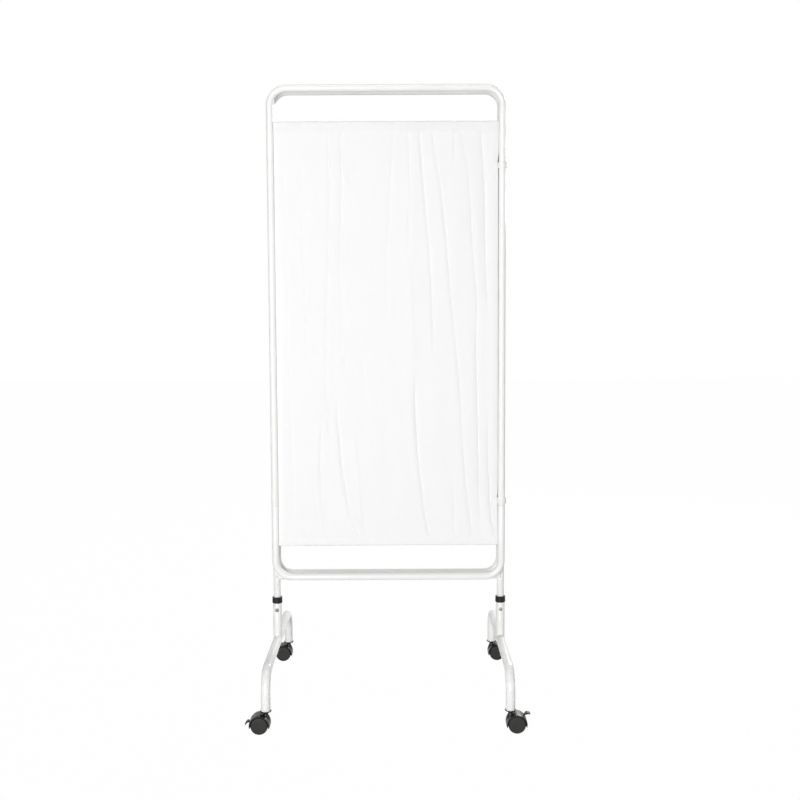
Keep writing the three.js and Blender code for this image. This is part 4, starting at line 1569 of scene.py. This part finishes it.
@dataclass
class Castor:
    """A hooded castor with two wheels.

    Its pieces are modelled once, with the stem on X = 0 and the axle towards +X.
    """

    trail: float = 16.0
    axle_height: float = 23.0
    wheel_radius: float = 23.0
    wheel_width: float = 15.0
    wheel_inner: float = 6.6
    hood_inner: float = 24.3
    hood_outer: float = 27.6
    hood_half: float = 21.6
    hood_drop: float = 15.0
    hood_slant: float = 7.0
    hood_crown: float = 0.3
    hood_round: float = 0.8
    hood_shoulder: float = 0.15
    web: float = 12.0
    web_drop: float = 8.0
    tube_end: float = 58.0
    boss_top: float = 53.8
    stem_bore: float = 4.3
    flange_radius: float = 15.0
    pin: tuple[float, float] = (6.5, 9.5)
    pin_radius: float = 2.0
    lever_width: float = 7.4
    lever_thick: float = 4.4
    lever_range: tuple[float, float] = (-4.0, 42.0)
    lever_play: float = 0.6
    lever_reach: float = 34.0
    neck_end: float = 21.0
    neck_spread: float = 2.5
    hook_start: float = 22.4
    hook_radius: float = 8.8
    hook_turn: float = 84.0
    hook_thinning: float = 0.3
    hook_full_turn: float = 1.7
    paddle_width: float = 16.0
    paddle_taper: float = 0.1
    models: dict[str, Piece] = field(default_factory=dict)

    def model(self) -> None:
        """Models each kind of piece once."""
        self.models = {
            "insert": self.insert(),
            "wheel": self.wheel(),
            "plain body": self.castor_body(False),
            "braked body": self.castor_body(True),
            "lever": self.lever(),
        }

    def clear(self) -> None:
        """Removes the models once their copies are placed."""
        for model in self.models.values():
            bpy.data.objects.remove(model)

    def to_axle(self) -> Matrix:
        """From the wheels' own place on Z to the axle, with the wheel's outside towards -Y."""
        return at(self.trail, 0, self.axle_height) @ TO_FRONT

    def to_pin(self) -> Matrix:
        """From a piece's own place to the lever's pin."""
        return at(self.trail + self.pin[0], 0, self.axle_height + self.pin[1])

    def insert(self) -> Piece:
        """Builds the black plug with a dished flange, whose lip stands round the tube's end.

        Returns:
            The plug at its place in the castor.
        """
        end, rim = self.tube_end, self.flange_radius
        profile = [(4.4, end - 3.6), (8.8, end - 3.6), (11.2, end - 3.3), (13.2, end - 2.5),
                   (rim - 0.6, end - 1.4), (rim, end - 0.6), (rim + 0.1, end),
                   (rim - 0.2, end + 0.4), (rim - 0.8, end + 0.5), (rim - 1.6, end + 0.1),
                   (12.7, end - 0.25), (10.6, end - 0.25), (10.5, end + 23.0), (9.6, end + 24.0),
                   (4.4, end + 24.0), (4.4, end - 3.4)]
        return Draft.turned("insert model", profile, Sides.SLEEVE, (False, False)).done()

    def wheel(self) -> Piece:
        """Builds a wheel, outside up, with a domed cover, a groove and a rounded tread.

        Returns:
            The wheel with its axle along Z.
        """
        inner, radius = self.wheel_inner, self.wheel_radius
        face = inner + self.wheel_width
        profile = [(2.8, inner + 11), (2.8, inner - 0.2), (6.0, inner - 0.2), (6.4, inner + 0.2),
                   (6.6, inner + 4.5), (17.9, inner + 4.5), (18.2, inner + 0.4), (18.6, inner),
                   (radius - 1.0, inner), (radius - 0.3, inner + 0.3), (radius, inner + 1.0),
                   (radius, face - 3.9), (radius - 0.25, face - 2.7), (radius - 0.8, face - 1.6),
                   (radius - 1.4, face - 1.05), (radius - 1.75, face - 1.1),
                   (radius - 1.95, face - 1.5), (radius - 2.15, face - 0.9),
                   (radius - 2.5, face - 0.5), (radius - 3.4, face - 0.3), (15.6, face - 0.15),
                   (11.0, face - 0.05), (6.0, face), (1.5, face)]
        return Draft.turned("wheel model", profile, Sides.WHEEL).done(32)

    def hood(self) -> Piece:
        """Sweeps half the hood over the wheels, cuts its end to a point and mirrors it.

        Returns:
            The hood about the axle, which lies on Y.
        """
        inner, outer, half = self.hood_inner, self.hood_outer, self.hood_half
        draft = Draft("hood", bpy.ops.mesh.primitive_plane_add, ((inner + outer) / 2, 0, 0),
                      stretch=(outer - inner, 2 * half, 1), size=MM)
        bpy.ops.mesh.subdivide(number_cuts=7)

        def crown(p: Vector) -> Vector:
            """Rounds the section's shoulders and gives it a low crown.

            Args:
                p: A corner of the flat section.

            Returns:
                Its place on the crowned one.
            """
            share = abs(p.y) / half
            shoulder = max(share - (1 - self.hood_shoulder), 0) / self.hood_shoulder
            round_off = self.hood_round * shoulder**2 * (p.x - inner) / (outer - inner)
            drop = self.hood_crown * share**2 + round_off
            return Vector((p.x - drop, p.y, p.z))

        draft.each_vertex(crown)
        draft.select(Domain.VERT, True)
        draft.rotate(-90)
        draft.spin(90 + self.hood_drop + self.hood_slant, (0, 0, 0), 26)
        tip, root = math.radians(self.hood_drop), math.radians(self.hood_drop - self.hood_slant)
        low = Vector((outer * math.cos(tip), 0, -outer * math.sin(tip)))
        high = Vector((inner * math.cos(root), 0, -inner * math.sin(root)))
        draft.pick(lambda p: p.z < 4)
        bpy.ops.mesh.bisect(plane_co=low * MM, plane_no=Vector((0, 1, 0)).cross(low - high),
                            use_fill=True, clear_outer=True)
        draft.pick(lambda p: abs(p.x) < 0.01)
        bpy.ops.mesh.delete(type="FACE")
        return modify(draft.done(40), "MIRROR", merge_threshold=0.01 * MM)

    def slot(self) -> Piece:
        """The room that the lever sweeps, as a sector of a disc about its pin, and its hub's.

        Returns:
            The room, to be cut out of the castor's body.
        """
        play, half = self.lever_thick / 2 + self.lever_play, self.lever_width / 2 + self.lever_play
        disc = round_bar(self.lever_reach, -half, half, Sides.SLEEVE, TO_FRONT)
        only(disc)
        bpy.ops.object.mode_set(mode="EDIT")
        for angle, way in zip(self.lever_range, (-1, 1)):
            turn = math.radians(angle)
            across = Vector((-math.sin(turn), 0, math.cos(turn))) * way
            bpy.ops.mesh.select_all(action="SELECT")
            bpy.ops.mesh.bisect(plane_co=across * play * MM, plane_no=across, use_fill=True,
                                clear_outer=True)
        bpy.ops.object.mode_set(mode="OBJECT")
        room, end = self.lever_thick + self.lever_play, half + 0.1
        hub = round_bar(room, -end, end, Sides.TUBE, TO_FRONT)
        combined(disc, hub, "UNION")
        disc.data.transform(self.to_pin())
        return disc

    def castor_body(self, braked: bool) -> Piece:
        """Joins the hood, the web between the wheels and the boss round the stem.

        Args:
            braked: Whether the hood has the slot and the pin of a brake lever.

        Returns:
            The body at its place in the castor.
        """
        piece = self.hood()
        piece.name = "braked body model" if braked else "plain body model"
        radius, half, top = self.hood_outer - 0.5, self.web / 2, self.boss_top
        profile = [(radius - 0.5, -half), (radius, 0.5 - half), (radius, half - 0.5),
                   (radius - 0.5, half)]
        web = Draft.turned("web", profile, Sides.WHEEL).done()
        web.data.transform(TO_FRONT)
        below = Draft.box("below", (80, 30, 40), (0, 0, -20 - self.web_drop)).done()
        combined(web, below, "DIFFERENCE")
        combined(piece, web, "UNION")
        piece.data.transform(at(self.trail, 0, self.axle_height))
        combined(piece, self.boss(), "UNION")
        bore = round_bar(self.stem_bore, top - 26, top + 4, Sides.BORE, at())
        combined(piece, bore, "DIFFERENCE")
        if braked:
            combined(piece, self.slot(), "DIFFERENCE")
            pin = round_bar(self.pin_radius, -half, half, Sides.PIN, self.to_pin() @ TO_FRONT)
            combined(piece, pin, "UNION")
        return rounded(piece, 0.35, above=55)

    def boss(self) -> Piece:
        """Builds the slim neck round the stem, which spreads downwards and clears the wheels.

        Returns:
            The neck at its place in the castor.
        """
        top = self.boss_top
        profile = [(11.5, top - 28), (11.0, top - 20), (9.8, top - 13.5), (8.2, top - 9),
                   (6.9, top - 6), (6.2, top - 3.4), (6.1, top - 0.5), (5.6, top)]
        boss = Draft.turned("boss", profile, Sides.TUBE).done()
        wheels = round_bar(self.hood_inner, -self.hood_half, self.hood_half, Sides.SLEEVE, at())
        combined(wheels, Draft.box("between", (70, 70, self.web - 0.2)).done(), "DIFFERENCE")
        wheels.data.transform(self.to_axle())
        return combined(boss, wheels, "DIFFERENCE")

    def lever(self) -> Piece:
        """Builds the lever, level with its pin: a hub, an arm that widens and a curved hook.

        Returns:
            The lever with its pin on the origin.
        """
        start, radius, thick = self.hook_start, self.hook_radius, self.lever_thick
        draft = Draft.box("lever model", (4, self.lever_width, thick), (5, 0, 0))
        draft.pick(lambda p: p.x > 6.9)
        for step in (6, 4, 2, 2, start - self.neck_end):
            draft.extrude(x=step)
        draft.spin(self.hook_turn, (start, 0, -radius), 9)

        def spread(p: Vector) -> Vector:
            """Widens the arm into the paddle and thins the hook.

            Args:
                p: A corner of the even arm.

            Returns:
                Its place on the finished one.
            """
            turn = math.atan2(p.x - start, p.z + radius) if p.x > start else 0.0
            share = min(max((p.x - self.neck_end) / self.neck_spread, 0), 1) if turn < 0.05 else 1.0
            taper = 1 - self.paddle_taper * max(turn, 0) ** 2
            wide = 1 + (self.paddle_width / self.lever_width - 1) * eased(share) * taper
            if turn <= 0:
                return Vector((p.x, p.y * wide, p.z))
            away = math.hypot(p.x - start, p.z + radius)
            thinning = self.hook_thinning * turn / self.hook_full_turn
            thin = radius + (away - radius) * (1 - thinning)
            x, z = thin * math.sin(turn), thin * math.cos(turn)
            return Vector((start + x, p.y * wide, z - radius))

        draft.each_vertex(spread)
        piece = rounded(draft.done(60), 0.9, segments=3, above=30, smooth=50)
        half = self.lever_width / 2
        combined(piece, round_bar(thick, -half, half, Sides.BORE, TO_FRONT), "UNION")
        bore = round_bar(self.pin_radius + 0.3, -8, 8, Sides.PIN, TO_FRONT)
        return combined(piece, bore, "DIFFERENCE")

    def put(self, model: str, node: str, place: Matrix, finish: Finish, body: str) -> None:
        """Places a copy of a model and dresses it.

        Args:
            model: The model's key.
            node: The CAD node that the copy stands for.
            place: The move to its place, in metres.
            finish: What it is made of.
            body: The CAD body that it rides on.
        """
        dress(placed(self.models[model], f"{node}.plastic", place), finish, body, node)

    def build(self, corner: str, x: float, y: float, turn: float, lever: float | None) -> None:
        """Places one castor's pieces.

        Args:
            corner: The castor's name.
            x: Where its stem stands.
            y: Where its stem stands.
            turn: Its turn about Z, in degrees.
            lever: The brake lever's angle in degrees, or none for a castor without a brake.
        """
        place = at(x, y, 0, turn)
        kind = "plain body" if lever is None else "braked body"
        self.put("insert", f"{corner}_insert", place, Looks.BLACK, "centre_frame")
        self.put(kind, f"{corner}_castor_body", place, Looks.BLACK, f"{corner}_castor")
        dress_node(f"{corner}_stem", Looks.ZINC)
        dress_node(f"{corner}_axle", Looks.ZINC)
        for side, way in (("front", 1), ("back", -1)):
            faces_front = way * math.cos(math.radians(turn)) > 0
            flip = Matrix.Rotation(0 if faces_front else math.pi, 4, "X")
            wheel = f"{corner}_{side}_wheel"
            self.put("wheel", wheel, place @ self.to_axle() @ flip, Looks.WHEEL, wheel)
        if lever is not None:
            tilt = self.to_pin() @ Matrix.Rotation(math.radians(-lever), 4, "Y")
            self.put("lever", f"{corner}_brake_lever", place @ tilt, Looks.BLACK, f"{corner}_brake")


# Studio


@dataclass(frozen=True)
class Lamp:
    """A soft area lamp. Places and sizes are in millimetres and the power is in watts."""

    name: str
    place: Point
    target: Point
    power: float
    wide: float
    tall: float

    def hang(self) -> None:
        """Adds the lamp, facing its target."""
        data = bpy.data.lights.new(self.name, "AREA")
        data.energy = self.power
        data.shape = "RECTANGLE"
        data.size = self.wide * MM
        data.size_y = self.tall * MM
        lamp = bpy.data.objects.new(self.name, data)
        aim = Vector(self.target) - Vector(self.place)
        turn = aim.to_track_quat("-Z", "Y").to_matrix().to_4x4()
        lamp.matrix_world = Matrix.Translation(Vector(self.place) * MM) @ turn
        bpy.context.scene.collection.objects.link(lamp)


@dataclass
class Studio:
    """The camera, the floor and the lamps."""

    lens: float = 49.3844
    camera_place: Point = (34.77, -3093.16, 1104.81)
    pitch: float = 4.770
    roll: float = -0.265
    world_level: float = 0.05
    floor_reach: float = 14000.0
    floor_tone: float = 0.6
    floor_white: float = 0.99
    lamps: tuple[Lamp, ...] = (
        Lamp("front", (-1100, -4100, 1100), (0, 0, 880), 156, 1400, 2400),
        Lamp("right", (3100, -1200, 1200), (0, 0, 880), 16, 900, 2000),
        Lamp("top", (0, -300, 3600), (0, 0, 900), 18, 1600, 1600),
        Lamp("back", (1500, 2800, 2300), (0, 0, 900), 105, 1600, 1600),
    )

    def build(self) -> None:
        """Sets the view and builds the studio."""
        bpy.context.scene.view_settings.view_transform = "Standard"
        self.camera()
        self.world()
        self.floor()
        for lamp in self.lamps:
            lamp.hang()

    def camera(self) -> None:
        """Sets the camera where the photograph was taken from."""
        pitch, roll = math.radians(self.pitch), math.radians(self.roll)
        ahead = Vector((0, math.cos(pitch), -math.sin(pitch)))
        up = Vector((0, math.sin(pitch), math.cos(pitch)))
        right = Vector((1, 0, 0))
        across = right * math.cos(roll) + up * math.sin(roll)
        over = up * math.cos(roll) - right * math.sin(roll)
        data = bpy.data.cameras.new("camera")
        data.lens = self.lens
        data.sensor_width = 36.0
        data.clip_end = 100.0
        camera = bpy.data.objects.new("camera", data)
        rotation = Matrix((across, over, -ahead)).transposed().to_4x4()
        camera.matrix_world = Matrix.Translation(Vector(self.camera_place) * MM) @ rotation
        bpy.context.scene.collection.objects.link(camera)
        bpy.context.scene.camera = camera

    def seen(self, board: NodeBoard) -> Socket:
        """One for rays that show the background: straight, mirrored or through glass.

        Args:
            board: The tree's board.

        Returns:
            The mask.
        """
        path = board.add("LightPath")
        rays = [path.outputs[f"Is {kind} Ray"] for kind in ("Camera", "Glossy", "Transmission")]
        return board.math("MAXIMUM", board.math("MAXIMUM", rays[0], rays[1]), rays[2])

    def world(self) -> None:
        """Makes a white background that lights the object at a plain level."""
        world = bpy.data.worlds.new("studio")
        world.use_nodes = True
        board = NodeBoard(world.node_tree)
        level = self.world_level
        strength = board.math("MULTIPLY_ADD", self.seen(board), 1 - level, level)
        background = board.add("Background", {"Color": (1, 1, 1, 1), "Strength": strength})
        board.add("OutputWorld", {"Surface": background.outputs[0]})
        bpy.context.scene.world = world

    def floor(self) -> None:
        """Lays a white floor that keeps the object's shadow."""
        size = 2 * self.floor_reach * MM
        floor = Draft("floor", bpy.ops.mesh.primitive_plane_add, size=size).done()
        floor.data.materials.append(made_once("Studio floor", self.floor_shader))

    def floor_shader(self, board: NodeBoard) -> Socket:
        """Adds the floor's nodes and returns its surface: white where it is seen, and matte.

        Args:
            board: The material's board.

        Returns:
            The surface's socket.
        """
        matte = board.add("BsdfDiffuse", {"Color": (*(self.floor_tone,) * 3, 1)})
        white = board.add("Emission", {"Color": (1, 1, 1, 1), "Strength": 1.0})
        factor = board.math("MULTIPLY", self.seen(board), self.floor_white)
        mixed = board.add("MixShader", {0: factor, 1: matte.outputs[0], 2: white.outputs[0]})
        return mixed.outputs[0]


def main() -> None:
    """Builds the studio and then the screen, frame by frame and foot by foot."""
    logging.basicConfig(level=logging.INFO, format="%(message)s")
    Studio().build()
    front = WingFrame("front_wing", "front_wing", depth=-HingeClips.pitch, bottom=345.5)
    centre = CentreFrame("centre", "centre_frame", depth=0.0, bottom=342.5)
    rear = WingFrame("rear_wing", "rear_wing", depth=HingeClips.pitch, bottom=345.5)
    for part in (front, centre, rear):
        part.build()
    clips = {"upper": 1496.5, "lower": 563.5}
    half, side = ClothSheet.half_width, centre.half_width
    ClothSheet(front, FRONT_FOLDS, 3, tuple(clips.values())).build()
    ClothSheet(centre, FoldDraw(11, 15).folds(half, rear.rods), 5).build()
    ClothSheet(rear, FoldDraw(23, 17).folds(half, rear.rods), 8).build()
    HingeClips("right", "front_clips", side, 180, clips).build()
    HingeClips("left", "rear_clips", -side, 0, clips).build()
    Foot("left", -side).build()
    Foot("right", side).build()
    castor, reach = Castor(), Foot.reach
    braked, free = castor.lever_range
    castor.model()
    castor.build("front_left", -side, -reach, 180, braked)
    castor.build("front_right", side, -reach, 0, free)
    castor.build("rear_left", -side, reach, 180, None)
    castor.build("rear_right", side, reach, 0, None)
    castor.clear()


if __name__ == "__main__":
    main()
